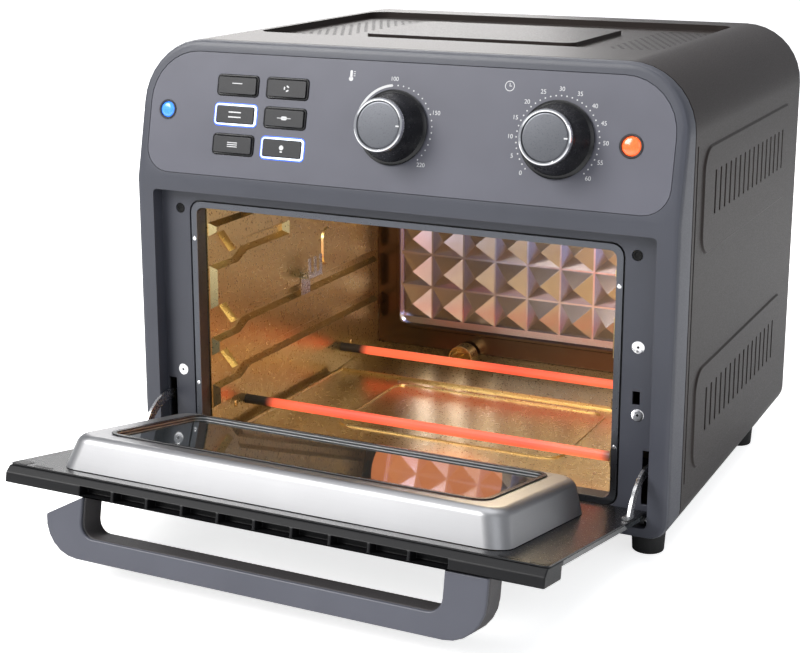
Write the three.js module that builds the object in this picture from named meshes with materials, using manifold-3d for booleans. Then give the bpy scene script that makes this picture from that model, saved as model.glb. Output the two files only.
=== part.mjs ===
// Air fryer oven with a drop-down glass door, two dials and six buttons, in millimetres with Z up.
// Working frame: X to the viewer's right, Y back from the bezel's front plane, Z up from the table.
import * as THREE from 'three';
import { mergeVertices } from 'three/addons/utils/BufferGeometryUtils.js';
import Module from 'manifold-3d';

const wasm = await Module();
wasm.setup();

// Overall box
const OVEN_WIDTH = 400;
const BODY_TOP = 321;
const FOOT_HEIGHT = 16.5;
const BODY_REAR = 318;
const TOP_RADIUS = 44;
const BOTTOM_RADIUS = 14;
const SEAT_GAP = 0.3;
const OVERCUT = 5;

// Front bezel and control slope
const BEZEL_REAR = 28;
const BEZEL_WALL = 3;
const BEZEL_BEVEL = 4;
const BEZEL_LIP_LENGTH = 8;
const BEZEL_LIP_WALL = 2;
const CREASE_HEIGHT = 223.5;
const PANEL_TILT = THREE.MathUtils.degToRad(12.36);
const RECESS_SIDE = 14;
const RECESS_HALF_WIDTH = OVEN_WIDTH / 2 - RECESS_SIDE;
const RECESS_BOTTOM = 24;
const RECESS_TOP = 216;
const RECESS_DEPTH = 11;
const RECESS_WALL = 2;
const RECESS_RADIUS = 3;
const CATCH_SIDE = 29.5;
const CATCH_X = OVEN_WIDTH / 2 - CATCH_SIDE;
const CATCH_HEIGHT = 201.3;
const CATCH_RADIUS = 3.7;
const HOOK_SIDE = 27.2;
const HOOK_X = OVEN_WIDTH / 2 - HOOK_SIDE;
const HOOK_HEIGHT = 107.6;
const HOOK_HALF_WIDTH = 2.5;
const HOOK_HALF_HEIGHT = 4.5;

// Shell
const SHELL_FRONT = 29.5;
const SHEET = 1;
const SHELL_RETURN = 165;
const SHELL_SLOT_Y = 35;
const SHELL_SLOT_WIDTH = 2;
const SHELL_SLOT_BOTTOM = 45;
const SHELL_SLOT_TOP = 269;
const VENT_COUNT = 16;
const VENT_FIRST_Y = 76;
const VENT_LAST_Y = 262;
const VENT_WIDTH = 3;
const VENT_UPPER = { bottom: 219, top: 248 };
const VENT_LOWER = { bottom: 70, top: 100 };
const SIDE_PANEL = { front: 49, rear: 290, height: 1.2, radius: 16 };
const SIDE_PANEL_LOWER = { bottom: 47, top: 118 };
const SIDE_PANEL_UPPER = { bottom: 194, top: 266 };
const TOP_PANEL_SIDE = 46;
const TOP_PANEL = {
  halfWidth: OVEN_WIDTH / 2 - TOP_PANEL_SIDE, front: 93, rear: 290, depth: 5, radius: 14 };
const TOP_ISLAND = { halfWidth: 82, front: 128, rear: 240, height: 3.5, radius: 8 };

// Base, rear cover and feet
const BASE_SIDE = 16;
const BASE_HALF_WIDTH = OVEN_WIDTH / 2 - BASE_SIDE;
const REAR_COVER_INSET = 4;
const REAR_VENT_COUNT = 12;
const REAR_VENT_PITCH = 14;
const REAR_VENT_WIDTH = 4;
const REAR_VENT = { bottom: 226, top: 262 };
const BASE_VENT_COUNT = 8;
const BASE_VENT_PITCH = 24;
const BASE_VENT_WIDTH = 4;
const BASE_VENT_HALF_LENGTH = 60;
const FOOT_SIDE = 20;
const FOOT_X = OVEN_WIDTH / 2 - FOOT_SIDE;
const FOOT_FRONT_Y = 26;
const FOOT_REAR_Y = 256;
const FOOT_RADIUS = 10.5;
const FOOT_TOP_RADIUS = 11.5;
const FOOT_SPIGOT_RADIUS = 3;
const FOOT_SPIGOT_LENGTH = 2;
const GLAND_SIDE = 50;
const GLAND_X = GLAND_SIDE - OVEN_WIDTH / 2;
const GLAND_HEIGHT = 48;
const GLAND_RADIUS = 7;
const GLAND_FLANGE_RADIUS = 10.5;
const GLAND_BORE = 3.6;
const GLAND_PROUD = 2.2;

// Cavity box
const WALL_SIDE = 44;
const WALL_BASE_X = OVEN_WIDTH / 2 - WALL_SIDE;
const WALL_RELIEF = 5;
const WALL_FACE_X = WALL_BASE_X - WALL_RELIEF;
const WALL_FRONT = 23;
const CAVITY_REAR = 297;
const CAVITY_FLOOR = 24;
const CAVITY_FLOOR_REAR_RISE = 5;
const CAVITY_ROOF = 205;
const FLOOR_FLAT_REAR = 217;
const FLOOR_RISE_REAR = 290;
const ARCH_X = -69;
const ARCH_RADIUS = 11;
const ARCH_WALL = 1.5;
const ARCH_LENGTH = 14;
const RELIEF_FRONT = 24.5;
const RELIEF_REAR = 289;
const RELIEF_TOP = 189;
const RELIEF_BOTTOM = 49;
const RELIEF_RUN = 3;
const RAIL_HEIGHTS = [73, 108.5, 163];
const RAIL_GROOVE = 5;
const FUNNEL_DROP = 6;
const FUNNEL_OPENING = 22;
const FUNNEL_STRAIGHT_Y = 36;
const FUNNEL_END_Y = 52;
const JOG_START_Y = 56;
const JOG_END_Y = 68;
const TOP_RAIL_REAR = 130;
const EMBOSS_BAR = { front: 184, rear: 201, bottom: 122, top: 154, height: 1.5 };

// Back wall pattern
const STUD_COLUMNS = 9;
const STUD_ROWS = 5;
const STUD_PITCH_Z = 29;
const STUD_BOTTOM = 55;
const STUD_HEIGHT = 9;
const BORDER_SIDE = 62;
const BORDER_HALF_WIDTH = OVEN_WIDTH / 2 - BORDER_SIDE;
const STUD_MARGIN = 5.25;
const STUD_PITCH_X = 2 * (BORDER_HALF_WIDTH - STUD_MARGIN) / STUD_COLUMNS;
const BORDER_BOTTOM = 45;
const BORDER_TOP = 204.2;
const BORDER_WIDTH = 5;
const STUD_SINK = 0.5;
const BORDER_HEIGHT = 2.5;
const BORDER_RUN = 1.5;
const BORDER_RADIUS = 16;

// Bright front frame
const FRAME_SIDE = 38.5;
const FRAME_OUTER_X = OVEN_WIDTH / 2 - FRAME_SIDE;
const FRAME_OUTER_BOTTOM = 32;
const FRAME_OUTER_TOP = 207.3;
const FRAME_FACE = 4.5;
const FRAME_INNER_X = FRAME_OUTER_X - FRAME_FACE;
const FRAME_INNER_BOTTOM = 36.5;
const FRAME_INNER_TOP = 203;
const FRAME_OUTER_RADIUS = 8;
const FRAME_INNER_RADIUS = 5;
const FRAME_SHADOW_GAP = 1.2;
const FRAME_FLANGE = 4;
const JAMB_REAR = 22.6;

// Heaters, lamp and rotisserie
const HEATER_RADIUS = 3.6;
const HEATER_END_RADIUS = 2.6;
const HEATER_SIDE = 34;
const HEATER_HALF_LENGTH = OVEN_WIDTH / 2 - HEATER_SIDE;
const HEATER_SHOULDER_SIDE = 40;
const HEATER_SHOULDER_X = OVEN_WIDTH / 2 - HEATER_SHOULDER_SIDE;
const HEATER_Y = [72, 228];
const HEATER_LOW = 42;
const HEATER_ROOF_DROP = 9;
const HEATER_HIGH = CAVITY_ROOF - HEATER_ROOF_DROP;
const LAMP_Y = 215;
const LAMP_HEIGHT = 160;
const LAMP_FLANGE_RADIUS = 16;
const LAMP_BODY_RADIUS = 13;
const LAMP_FLANGE = 2.5;
const LAMP_LENGTH = 22;
const SPIT_Y = 156;
const SPIT_HEIGHT = 128;
const BRACKET = {
  width: 22, tabBottom: 106, tabWidth: 14, shelf: 121, top: 138, reach: 10, prong: 4, prongs: 3 };
const SOCKET_RADIUS = 8;
const SOCKET_LENGTH = 7;
const SOCKET_SQUARE = 3.5;
const SOCKET_SHAFT_RADIUS = 4;
const SOCKET_SHAFT_LENGTH = 16;
const SPIT_MOTOR = { size: 52, depth: 26, radius: 6 };

// Convection fan over the roof
const FAN_Y = 155;
const FAN_CAN_RADIUS = 76;
const FAN_CAN_HEIGHT = 31;
const FAN_RADIUS = 62;
const FAN_BLADES = 8;
const FAN_BLADE_HEIGHT = 15;
const FAN_BLADE_WALL = 1.4;
const FAN_HUB_RADIUS = 11;
const FAN_LIFT = 6;
const FAN_SHAFT_RADIUS = 3;
const FAN_MOTOR_RADIUS = 26;
const FAN_MOTOR_HEIGHT = 28;
const GUARD_RADIUS = 82;
const GUARD_SLOTS = 24;
const GUARD_SLOT_INNER = 24;
const GUARD_SLOT_OUTER = 68;
const GUARD_SLOT_WIDTH = 4;

// Control panel, places as (across, up the slope from the crease)
const PANEL_LOW = 5.5;
const PANEL_HIGH = 92;
const PANEL_RADIUS = 18;
const PANEL_MARGIN = 7.5;
const PANEL_SHEET = 1;
const KNOB_CENTRE_V = 48.5;
const TEMP_KNOB_X = 0;
const TIMER_KNOB_SIDE = 84.5;
const TIMER_KNOB_X = OVEN_WIDTH / 2 - TIMER_KNOB_SIDE;
const KNOB_SKIRT_RADIUS = 25.2;
const KNOB_SKIRT_HEIGHT = 3;
const KNOB_NECK_RADIUS = 18.6;
const KNOB_NECK_HEIGHT = 16.5;
const KNOB_TOP_RADIUS = 18.1;
const KNOB_TOP_HEIGHT = 20.2;
const KNOB_CLEARANCE = 0.6;
const KNOB_RING_RADIUS = 17.8;
const KNOB_CAP_RADIUS = 15.4;
const KNOB_FACE_HEIGHT = 24;
const SHAFT_RADIUS = 3;
const SHAFT_INSERT = 10;
const SHAFT_DEPTH = 14;
const THERMOSTAT = { width: 40, height: 36, depth: 20 };
const TIMER_UNIT = { width: 46, height: 46, depth: 30 };
const BUTTON_WIDTH = 33;
const BUTTON_HEIGHT = 14.5;
const BUTTON_RADIUS = 2.6;
const BUTTON_RIM = 1.3;
const BUTTON_RIM_PROUD = 0.6;
const BUTTON_PROUD = 1.6;
const BUTTON_TRAVEL = 1.5;
const BUTTON_FLANGE = 1.2;
const BUTTON_STEM = 6;
const BUTTON_STEM_LENGTH = 3;
const BUTTON_SIDE = 78.1;
const BUTTON_PITCH = 39.3;
const BUTTON_FIRST_X = BUTTON_SIDE - OVEN_WIDTH / 2;
const BUTTON_COLUMNS = [BUTTON_FIRST_X, BUTTON_FIRST_X + BUTTON_PITCH];
const BUTTON_ROWS = [69.5, 49.2, 28.4];
const LIGHT_GUIDE_SHEET = 1.2;
const LIGHT_GUIDE_MARGIN = 2;
const BOARD_SHEET = 1.6;
const BOARD_MARGIN = 10;
const BOARD_CLEARANCE = 2;
const POST_RADIUS = 2.5;
const POWER_LAMP_SIDE = 22;
const POWER_LAMP = { x: POWER_LAMP_SIDE - OVEN_WIDTH / 2, v: 49.8, radius: 5.5 };
const HEATING_LAMP_SIDE = 35.7;
const HEATING_LAMP = { x: OVEN_WIDTH / 2 - HEATING_LAMP_SIDE, v: 48, radius: 6.3 };
const LAMP_PROUD = 1.6;
const LAMP_TAIL = 12;

// Door, places as (v up from the hinge, n outward from the hinge) with the door shut
const HINGE_Y = 5.3;
const HINGE_HEIGHT = 28.5;
const DOOR_OPEN = THREE.MathUtils.degToRad(79.26);
const FLANGE_SIDE = 16;
const FLANGE_HALF_WIDTH = OVEN_WIDTH / 2 - FLANGE_SIDE;
const FLANGE_BOTTOM = -1;
const FLANGE_TOP = 182;
const DOOR_INNER = -5.33;
const FLANGE_RADIUS = 3;
const LUG_RADIUS = 3.9;
const LUG_WIDTH = 6;
const PIN_RADIUS = 1.8;
const PIN_SIDE = 21;
const PIN_INNER = OVEN_WIDTH / 2 - PIN_SIDE;
const PIN_TAIL = 2;
const GLASS = 3.2;
const GLASS_BOTTOM = 6;
const GLASS_TOP = 158.4;
const PAN_SIDE = 45.5;
const PAN_HALF_WIDTH = OVEN_WIDTH / 2 - PAN_SIDE;
const PAN_LEAN = 6;
const PAN_TOP_HALF_WIDTH = PAN_HALF_WIDTH - PAN_LEAN;
const PAN_BOTTOM = 30;
const PAN_TOP = 172;
const PAN_FACE_BOTTOM = 33;
const PAN_FACE_TOP = 167;
const PAN_HEIGHT = 22.3;
const PAN_RADIUS = 14;
const PAN_SEAM_WIDTH = 4;
const PAN_EDGE_RADIUS = 5;
const PAN_EDGE_STEPS = 4;
const WINDOW_SIDE = 70;
const WINDOW_HALF_WIDTH = OVEN_WIDTH / 2 - WINDOW_SIDE;
const WINDOW_BOTTOM = 46;
const WINDOW_TOP = 150;
const WINDOW_RADIUS = 8;
const WINDOW_FRAME_WIDTH = 3;
const WINDOW_FRAME = 0.8;
const INNER_GLASS_MARGIN = 3;
const BAR_BOTTOM = 159;
const BAR_FRONT = 6.8;
const BAR_SLOTS = 10;
const BAR_SLOT_SIDE = 74;
const BAR_SLOT_HALF_SPAN = OVEN_WIDTH / 2 - BAR_SLOT_SIDE;
const BAR_SLOT_RIB = 2;
const BAR_SLOT_LOW = 0.3;
const BAR_SLOT_HIGH = 6;
const BAR_SLOT_DEPTH = 9;
const BAR_TOP = 186;
const BAR_CHAMFER = 3.5;
const HANDLE_SIDE = 49;
const HANDLE_HALF_WIDTH = OVEN_WIDTH / 2 - HANDLE_SIDE;
const HANDLE_LEG = 27;
const HANDLE_REACH = 47;
const HANDLE_GRIP = 14.6;
const HANDLE_OUTER_RADIUS = 25;
const HANDLE_INNER_RADIUS = 9;
const HANDLE_BOTTOM = 163;
const HANDLE_TOP = 185;
const HANDLE_COVER = 3;
const HANDLE_BEVEL = 1.2;
const ARM_SIDE = 18.5;
const ARM_X = OVEN_WIDTH / 2 - ARM_SIDE;
const ARM_SHEET = 2;
const ARM_INNER_RADIUS = 29;
const ARM_OUTER_RADIUS = 36;
const ARM_ROOT_ANGLE = THREE.MathUtils.degToRad(77.5);
const ARM_END_ANGLE = THREE.MathUtils.degToRad(-5.3);
const ARM_FOOT = { bottom: 26, top: 38, width: 4.2, height: 2 };
const ARM_SLOT_SIDES = { inner: 21.5, outer: 15 };
const ARM_SLOT = {
  inner: OVEN_WIDTH / 2 - ARM_SLOT_SIDES.inner, outer: OVEN_WIDTH / 2 - ARM_SLOT_SIDES.outer,
  bottom: 36, top: 73 };

// Crumb tray
const TRAY_SIDE = 50;
const TRAY_HALF_WIDTH = OVEN_WIDTH / 2 - TRAY_SIDE;
const TRAY_FRONT = 32;
const TRAY_REAR = 216;
const TRAY_RIM = 3.4;
const TRAY_BEAD_MARGIN = 58;
const TRAY_BEAD = {
  halfWidth: TRAY_HALF_WIDTH - TRAY_BEAD_MARGIN, front: 91, rear: 205, width: 3, height: 1.2, radius: 14 };
const TRAY_NOTCH = { left: -75, right: 20 };

// Counts of facets
const ROUND_STEPS = 28;
const SMALL_STEPS = 12;
const CORNER_STEPS = 3;

// Derived places shared by several pieces
const HALF_WIDTH = OVEN_WIDTH / 2;
const PANEL_HALF_WIDTH = HALF_WIDTH - PANEL_MARGIN;
const PANEL_TOP_RADIUS = TOP_RADIUS - PANEL_MARGIN;
const BODY_BOTTOM = FOOT_HEIGHT;
const BASE_FLOOR = BODY_BOTTOM + SHEET + SEAT_GAP;
const INNER_ROOF = CAVITY_ROOF + SHEET;
const CAN_TOP = CAVITY_ROOF + FAN_CAN_HEIGHT;
const CAVITY_FLOOR_REAR = CAVITY_FLOOR + CAVITY_FLOOR_REAR_RISE;
const WALL_BACK = CAVITY_REAR + SHEET;
const POCKET_FLOOR = -(PANEL_SHEET + SEAT_GAP);
const GUIDE_FRONT = -(BEZEL_WALL + SEAT_GAP);
const GUIDE_REAR = GUIDE_FRONT - LIGHT_GUIDE_SHEET;
const BUTTON_FLANGE_FRONT = GUIDE_REAR - SEAT_GAP;
const BUTTON_FLANGE_REAR = BUTTON_FLANGE_FRONT - BUTTON_FLANGE;
const BUTTON_STEM_END = BUTTON_FLANGE_REAR - BUTTON_STEM_LENGTH;
const BOARD_FRONT = BUTTON_STEM_END - BOARD_CLEARANCE;
const BOARD_REAR = BOARD_FRONT - BOARD_SHEET;
const DOOR_BACK_LAYER = DOOR_INNER + SHEET;
const GLASS_BACK = DOOR_BACK_LAYER + SEAT_GAP;
const GLASS_FRONT = GLASS_BACK + GLASS;
const PAN_BASE = DOOR_INNER - SEAT_GAP;
const PAN_FACE = DOOR_INNER - PAN_HEIGHT;
const PIN_BORE = PIN_RADIUS + SEAT_GAP;

// Finishes
function finish(color, roughness, metalness) {
  return new THREE.MeshStandardMaterial({ color, roughness, metalness });
}

const FINISHES = {
  bezel: () => finish(0x4b4d54, 0.45, 0.1),
  panel: () => finish(0x5a5b62, 0.4, 0.15),
  shell: () => finish(0x57514c, 0.42, 0.35),
  dark: () => finish(0x1b1b1d, 0.5, 0.1),
  black: () => finish(0x0f0f11, 0.35, 0.05),
  steel: () => finish(0xb9bbbd, 0.28, 0.9),
  cavity: () => finish(0xa68b55, 0.3, 0.85),
  glow: () => finish(0xff5a3c, 0.5, 0.0),
  chrome: () => finish(0xdcdde0, 0.12, 1.0),
  cap: () => finish(0x6b6d73, 0.35, 0.5),
  glass: () => finish(0x2c3133, 0.08, 0.0),
  light: () => finish(0xcfe0ff, 0.3, 0.0),
  blue: () => finish(0x4c9bff, 0.2, 0.0),
  orange: () => finish(0xff8a3c, 0.2, 0.0),
  board: () => finish(0x2f5a3b, 0.6, 0.0),
  grip: () => finish(0x5d5b5e, 0.42, 0.2),
};

// Solid helpers: every solid is a manifold, turned back into a geometry at the end
function solid(geometry) {
  geometry.deleteAttribute('normal');
  geometry.deleteAttribute('uv');
  const merged = mergeVertices(geometry);
  const vertProperties = Float32Array.from(merged.attributes.position.array);
  const triVerts = Uint32Array.from(merged.index.array);
  const body = new wasm.Manifold(new wasm.Mesh({ numProp: 3, vertProperties, triVerts }));
  return body.volume() > 0 ? body : turnedOutwards(vertProperties, triVerts);
}

// The same triangles with their faces turned the other way, for mirrored and turned shapes
function turnedOutwards(vertProperties, triVerts) {
  for (let first = 0; first < triVerts.length; first += 3) {
    const swapped = triVerts[first + 1];
    triVerts[first + 1] = triVerts[first + 2];
    triVerts[first + 2] = swapped;
  }
  return new wasm.Manifold(new wasm.Mesh({ numProp: 3, vertProperties, triVerts }));
}

function geometryOf(body) {
  const mesh = body.getMesh();
  const geometry = new THREE.BufferGeometry();
  geometry.setAttribute('position', new THREE.BufferAttribute(Float32Array.from(mesh.vertProperties), 3));
  geometry.setIndex(new THREE.BufferAttribute(Uint32Array.from(mesh.triVerts), 1));
  geometry.computeVertexNormals();
  return geometry;
}

function moved(body, matrix) {
  return solid(geometryOf(body).applyMatrix4(matrix));
}

function shifted(body, x, y, z) {
  return moved(body, new THREE.Matrix4().makeTranslation(x, y, z));
}

function mirrored(body) {
  return moved(body, new THREE.Matrix4().makeScale(-1, 1, 1));
}

function union(first, ...others) {
  return others.reduce((sum, other) => sum.add(other), first);
}

function cut(first, ...others) {
  return others.reduce((rest, other) => rest.subtract(other), first);
}

function box(x0, x1, y0, y1, z0, z1) {
  const geometry = new THREE.BoxGeometry(x1 - x0, y1 - y0, z1 - z0);
  geometry.translate((x0 + x1) / 2, (y0 + y1) / 2, (z0 + z1) / 2);
  return solid(geometry);
}

// Extrusion planes: the shape's first and second axes, and the way it is pulled
const PLANES = {
  xz: [new THREE.Vector3(1, 0, 0), new THREE.Vector3(0, 0, 1), new THREE.Vector3(0, -1, 0)],
  yz: [new THREE.Vector3(0, 1, 0), new THREE.Vector3(0, 0, 1), new THREE.Vector3(1, 0, 0)],
  xy: [new THREE.Vector3(1, 0, 0), new THREE.Vector3(0, 1, 0), new THREE.Vector3(0, 0, 1)],
};

// Pulls a shape between two places along its plane's normal, with an optional bevel at both ends
function slab(plane, shape, from, to, bevel = 0, run = bevel, bevelSegments = 2) {
  const depth = Math.abs(to - from) - 2 * bevel;
  const geometry = new THREE.ExtrudeGeometry(shape, {
    depth,
    bevelEnabled: bevel > 0,
    bevelThickness: bevel,
    bevelSize: run,
    bevelOffset: -run,
    bevelSegments,
    curveSegments: CORNER_STEPS,
  });
  const [first, second, pull] = PLANES[plane];
  geometry.applyMatrix4(new THREE.Matrix4().makeBasis(first, second, pull));
  const start = plane === 'xz' ? Math.max(from, to) : Math.min(from, to);
  geometry.translate(...pull.clone().multiplyScalar(bevel).toArray());
  const shift = new THREE.Vector3(Math.abs(pull.x), Math.abs(pull.y), Math.abs(pull.z)).multiplyScalar(start);
  geometry.translate(...shift.toArray());
  return solid(geometry);
}

// The same with straight sloped sides at both ends, as pressed sheet has
function pressed(plane, shape, from, to, height, run = height) {
  return slab(plane, shape, from, to, height, run, 1);
}

function polygon(points) {
  return new THREE.Shape(points.map(([a, b]) => new THREE.Vector2(a, b)));
}

// Facets of a quarter round, more for a larger radius
function cornerSteps(radius) {
  return Math.max(CORNER_STEPS, Math.round(ROUND_STEPS * Math.sqrt(radius / OVEN_WIDTH)));
}

function quarterRound(x, y, radius, quarter, steps = cornerSteps(radius)) {
  return Array.from({ length: steps + 1 }, (_, step) => {
    const angle = (quarter + step / steps) * (Math.PI / 2);
    return new THREE.Vector2(x + radius * Math.cos(angle), y + radius * Math.sin(angle));
  });
}

// Points of a rounded rectangle whose lower and upper corners can differ
function roundedPoints(left, right, bottom, top, lowRadius, highRadius = lowRadius, steps = undefined) {
  return [
    ...quarterRound(right - lowRadius, bottom + lowRadius, lowRadius, -1, steps),
    ...quarterRound(right - highRadius, top - highRadius, highRadius, 0, steps),
    ...quarterRound(left + highRadius, top - highRadius, highRadius, 1, steps),
    ...quarterRound(left + lowRadius, bottom + lowRadius, lowRadius, 2, steps),
  ];
}

function roundedRect(...edges) {
  return new THREE.Shape(roundedPoints(...edges));
}

// Round bar along one axis between two places
function rod(axis, from, to, centre, radius, steps = ROUND_STEPS) {
  const geometry = new THREE.CylinderGeometry(radius, radius, Math.abs(to - from), steps);
  const middle = (from + to) / 2;
  if (axis === 'x') {
    geometry.rotateZ(-Math.PI / 2);
    geometry.translate(middle, centre[0], centre[1]);
  } else if (axis === 'y') {
    geometry.translate(centre[0], middle, centre[1]);
  } else {
    geometry.rotateX(Math.PI / 2);
    geometry.translate(centre[0], centre[1], middle);
  }
  return solid(geometry);
}

// Turned piece about the Z axis from (radius, height) points
function turned(points, steps = ROUND_STEPS) {
  const profile = points.map(([radius, height]) => new THREE.Vector2(radius, height));
  const geometry = new THREE.LatheGeometry(profile, steps);
  geometry.rotateX(Math.PI / 2);
  return solid(geometry);
}

function piece(name, body, material) {
  const mesh = new THREE.Mesh(geometryOf(body), material());
  mesh.name = name;
  return mesh;
}

// The oven's outline seen from the front, drawn in by an inset
function outline(inset) {
  const half = HALF_WIDTH - inset;
  return roundedRect(
    -half, half, BODY_BOTTOM + inset, BODY_TOP - inset, BOTTOM_RADIUS - inset, TOP_RADIUS - inset);
}

function outlineRing(outerInset, innerInset, from, to) {
  return cut(
    slab('xz', outline(outerInset), from, to),
    slab('xz', outline(innerInset), from - OVERCUT, to + OVERCUT));
}

// Leans what stands above the crease back by the panel's tilt
function leaned(body) {
  const below = box(-OVEN_WIDTH, OVEN_WIDTH, -OVEN_WIDTH, OVEN_WIDTH, -OVEN_WIDTH, CREASE_HEIGHT);
  const slope = Math.tan(PANEL_TILT);
  const shear = new THREE.Matrix4();
  shear.set(1, 0, 0, 0, 0, 1, slope, -slope * CREASE_HEIGHT, 0, 0, 1, 0, 0, 0, 0, 1);
  return union(body.intersect(below), moved(body.subtract(below), shear));
}

// Moves a body from upright panel places (across, depth behind the face, up the slope) onto the slope
function slopeMatrix() {
  const turn = new THREE.Matrix4().makeRotationX(-PANEL_TILT);
  return new THREE.Matrix4().makeTranslation(0, 0, CREASE_HEIGHT).multiply(turn);
}

// The six button places, as (across, up the slope)
function buttonPlaces() {
  return BUTTON_ROWS.flatMap((v) => BUTTON_COLUMNS.map((x) => [x, v]));
}

function buttonShape(x, v, grow) {
  const halfWidth = BUTTON_WIDTH / 2 + grow;
  const halfHeight = BUTTON_HEIGHT / 2 + grow;
  return roundedRect(x - halfWidth, x + halfWidth, v - halfHeight, v + halfHeight, BUTTON_RADIUS + grow);
}

// Everything that passes through the control slope, from one depth behind its face to another
function panelHoles(from, to) {
  const buttons = buttonPlaces().map(([x, v]) => slab('xz', buttonShape(x, v, SEAT_GAP), from, to));
  const shafts = [TEMP_KNOB_X, TIMER_KNOB_X].map((x) => (
    rod('y', from, to, [x, KNOB_CENTRE_V], SHAFT_RADIUS + SEAT_GAP, SMALL_STEPS)));
  const lamps = [POWER_LAMP, HEATING_LAMP].map((lamp) => (
    rod('y', from, to, [lamp.x, lamp.v], lamp.radius + SEAT_GAP, SMALL_STEPS)));
  return union(...buttons, ...shafts, ...lamps);
}

function panelShape(inset) {
  const half = PANEL_HALF_WIDTH - inset;
  const low = PANEL_LOW + inset;
  return roundedRect(-half, half, low, PANEL_HIGH - inset, PANEL_RADIUS - inset, PANEL_TOP_RADIUS - inset);
}

// Corner posts that carry the switch board
function boardEdges() {
  const halfWidth = BUTTON_WIDTH / 2 + BOARD_MARGIN;
  const halfHeight = BUTTON_HEIGHT / 2 + BOARD_MARGIN;
  return {
    left: BUTTON_COLUMNS[0] - halfWidth,
    right: BUTTON_COLUMNS[1] + halfWidth,
    low: BUTTON_ROWS[2] - halfHeight,
    high: BUTTON_ROWS[0] + halfHeight,
  };
}

function boardPosts() {
  const { left, right, low, high } = boardEdges();
  const inset = POST_RADIUS + SHEET;
  const places = [left + inset, right - inset].flatMap((x) => [low + inset, high - inset].map((v) => [x, v]));
  return union(...places.map((place) => (
    rod('y', -POCKET_FLOOR, -BOARD_FRONT - SEAT_GAP, place, POST_RADIUS, SMALL_STEPS))));
}

function recessShape(grow) {
  const half = RECESS_HALF_WIDTH + grow;
  return roundedRect(-half, half, RECESS_BOTTOM - grow, RECESS_TOP + grow, RECESS_RADIUS + grow);
}

function frameShape(inset) {
  const half = FRAME_OUTER_X - inset;
  return roundedRect(
    -half, half, FRAME_OUTER_BOTTOM + inset, FRAME_OUTER_TOP - inset, FRAME_OUTER_RADIUS - inset);
}

// Holes in the recess floor and its side walls for one side of the door
function hingeCuts(side) {
  const behind = RECESS_DEPTH + RECESS_WALL + OVERCUT;
  const [near, far] = side > 0 ? [ARM_SLOT.inner, ARM_SLOT.outer] : [-ARM_SLOT.outer, -ARM_SLOT.inner];
  const armSlot = box(near, far, RECESS_DEPTH - OVERCUT, behind, ARM_SLOT.bottom, ARM_SLOT.top);
  const wallFrom = side * (RECESS_HALF_WIDTH - SHEET);
  const wallTo = side * (RECESS_HALF_WIDTH + RECESS_WALL + SHEET);
  const pin = rod('x', wallFrom, wallTo, [HINGE_Y, HINGE_HEIGHT], PIN_BORE, SMALL_STEPS);
  const catchPlace = [side * CATCH_X, CATCH_HEIGHT];
  const catchHole = rod('y', RECESS_DEPTH - OVERCUT, behind, catchPlace, CATCH_RADIUS, SMALL_STEPS);
  const footPlace = [side * FOOT_X, FOOT_FRONT_Y];
  const footBore = FOOT_SPIGOT_RADIUS + SEAT_GAP;
  const foot = rod('z', BODY_BOTTOM - OVERCUT, BODY_BOTTOM + OVERCUT, footPlace, footBore, SMALL_STEPS);
  return union(armSlot, pin, catchHole, foot);
}

function frontBezel() {
  const far = BEZEL_REAR + OVEN_WIDTH;
  const block = leaned(slab('xz', outline(0), 0, far, BEZEL_BEVEL));
  const rear = box(-OVEN_WIDTH, OVEN_WIDTH, BEZEL_REAR, far + OVEN_WIDTH, -OVEN_WIDTH, OVEN_WIDTH);
  const hollow = leaned(slab('xz', outline(BEZEL_WALL), BEZEL_WALL, far));
  const recessBox = slab('xz', recessShape(RECESS_WALL), -OVERCUT, RECESS_DEPTH + RECESS_WALL);
  const lipInset = SHEET + SEAT_GAP;
  const lip = outlineRing(
    lipInset, lipInset + BEZEL_LIP_WALL, BEZEL_REAR - BEZEL_WALL, BEZEL_REAR + BEZEL_LIP_LENGTH);
  const shell = union(cut(block, rear, cut(hollow, recessBox)), lip);
  const recess = slab('xz', recessShape(0), -OVERCUT, RECESS_DEPTH);
  const mouth = slab('xz', frameShape(-FRAME_SHADOW_GAP), RECESS_DEPTH - OVERCUT, BEZEL_REAR);
  const [hookLeft, hookRight] = [HOOK_X - HOOK_HALF_WIDTH, HOOK_X + HOOK_HALF_WIDTH];
  const [hookLow, hookHigh] = [HOOK_HEIGHT - HOOK_HALF_HEIGHT, HOOK_HEIGHT + HOOK_HALF_HEIGHT];
  const hook = box(hookLeft, hookRight, RECESS_DEPTH - OVERCUT, BEZEL_REAR, hookLow, hookHigh);
  const pocket = slab('xz', panelShape(0), -OVERCUT, -POCKET_FLOOR);
  const slopeCuts = moved(union(pocket, panelHoles(-OVERCUT, BEZEL_WALL + OVERCUT)), slopeMatrix());
  const opened = cut(shell, recess, mouth, hook, slopeCuts, hingeCuts(-1), hingeCuts(1));
  return union(opened, moved(boardPosts(), slopeMatrix()));
}

// Shell: two relief bodies one sheet apart, the inner taken from the outer
function topRelief(drop, grow) {
  const half = TOP_PANEL.halfWidth + grow;
  const [front, rear] = [TOP_PANEL.front - grow, TOP_PANEL.rear + grow];
  const shape = roundedRect(-half, half, front, rear, TOP_PANEL.radius + grow);
  return slab('xy', shape, BODY_TOP - TOP_PANEL.depth - drop, BODY_TOP + OVERCUT);
}

function topIsland(drop) {
  const half = TOP_ISLAND.halfWidth - drop;
  const shape = roundedRect(
    -half, half, TOP_ISLAND.front + drop, TOP_ISLAND.rear - drop, TOP_ISLAND.radius);
  const floor = BODY_TOP - TOP_PANEL.depth - drop;
  return slab('xy', shape, floor - SHEET, floor + TOP_ISLAND.height);
}

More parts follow.
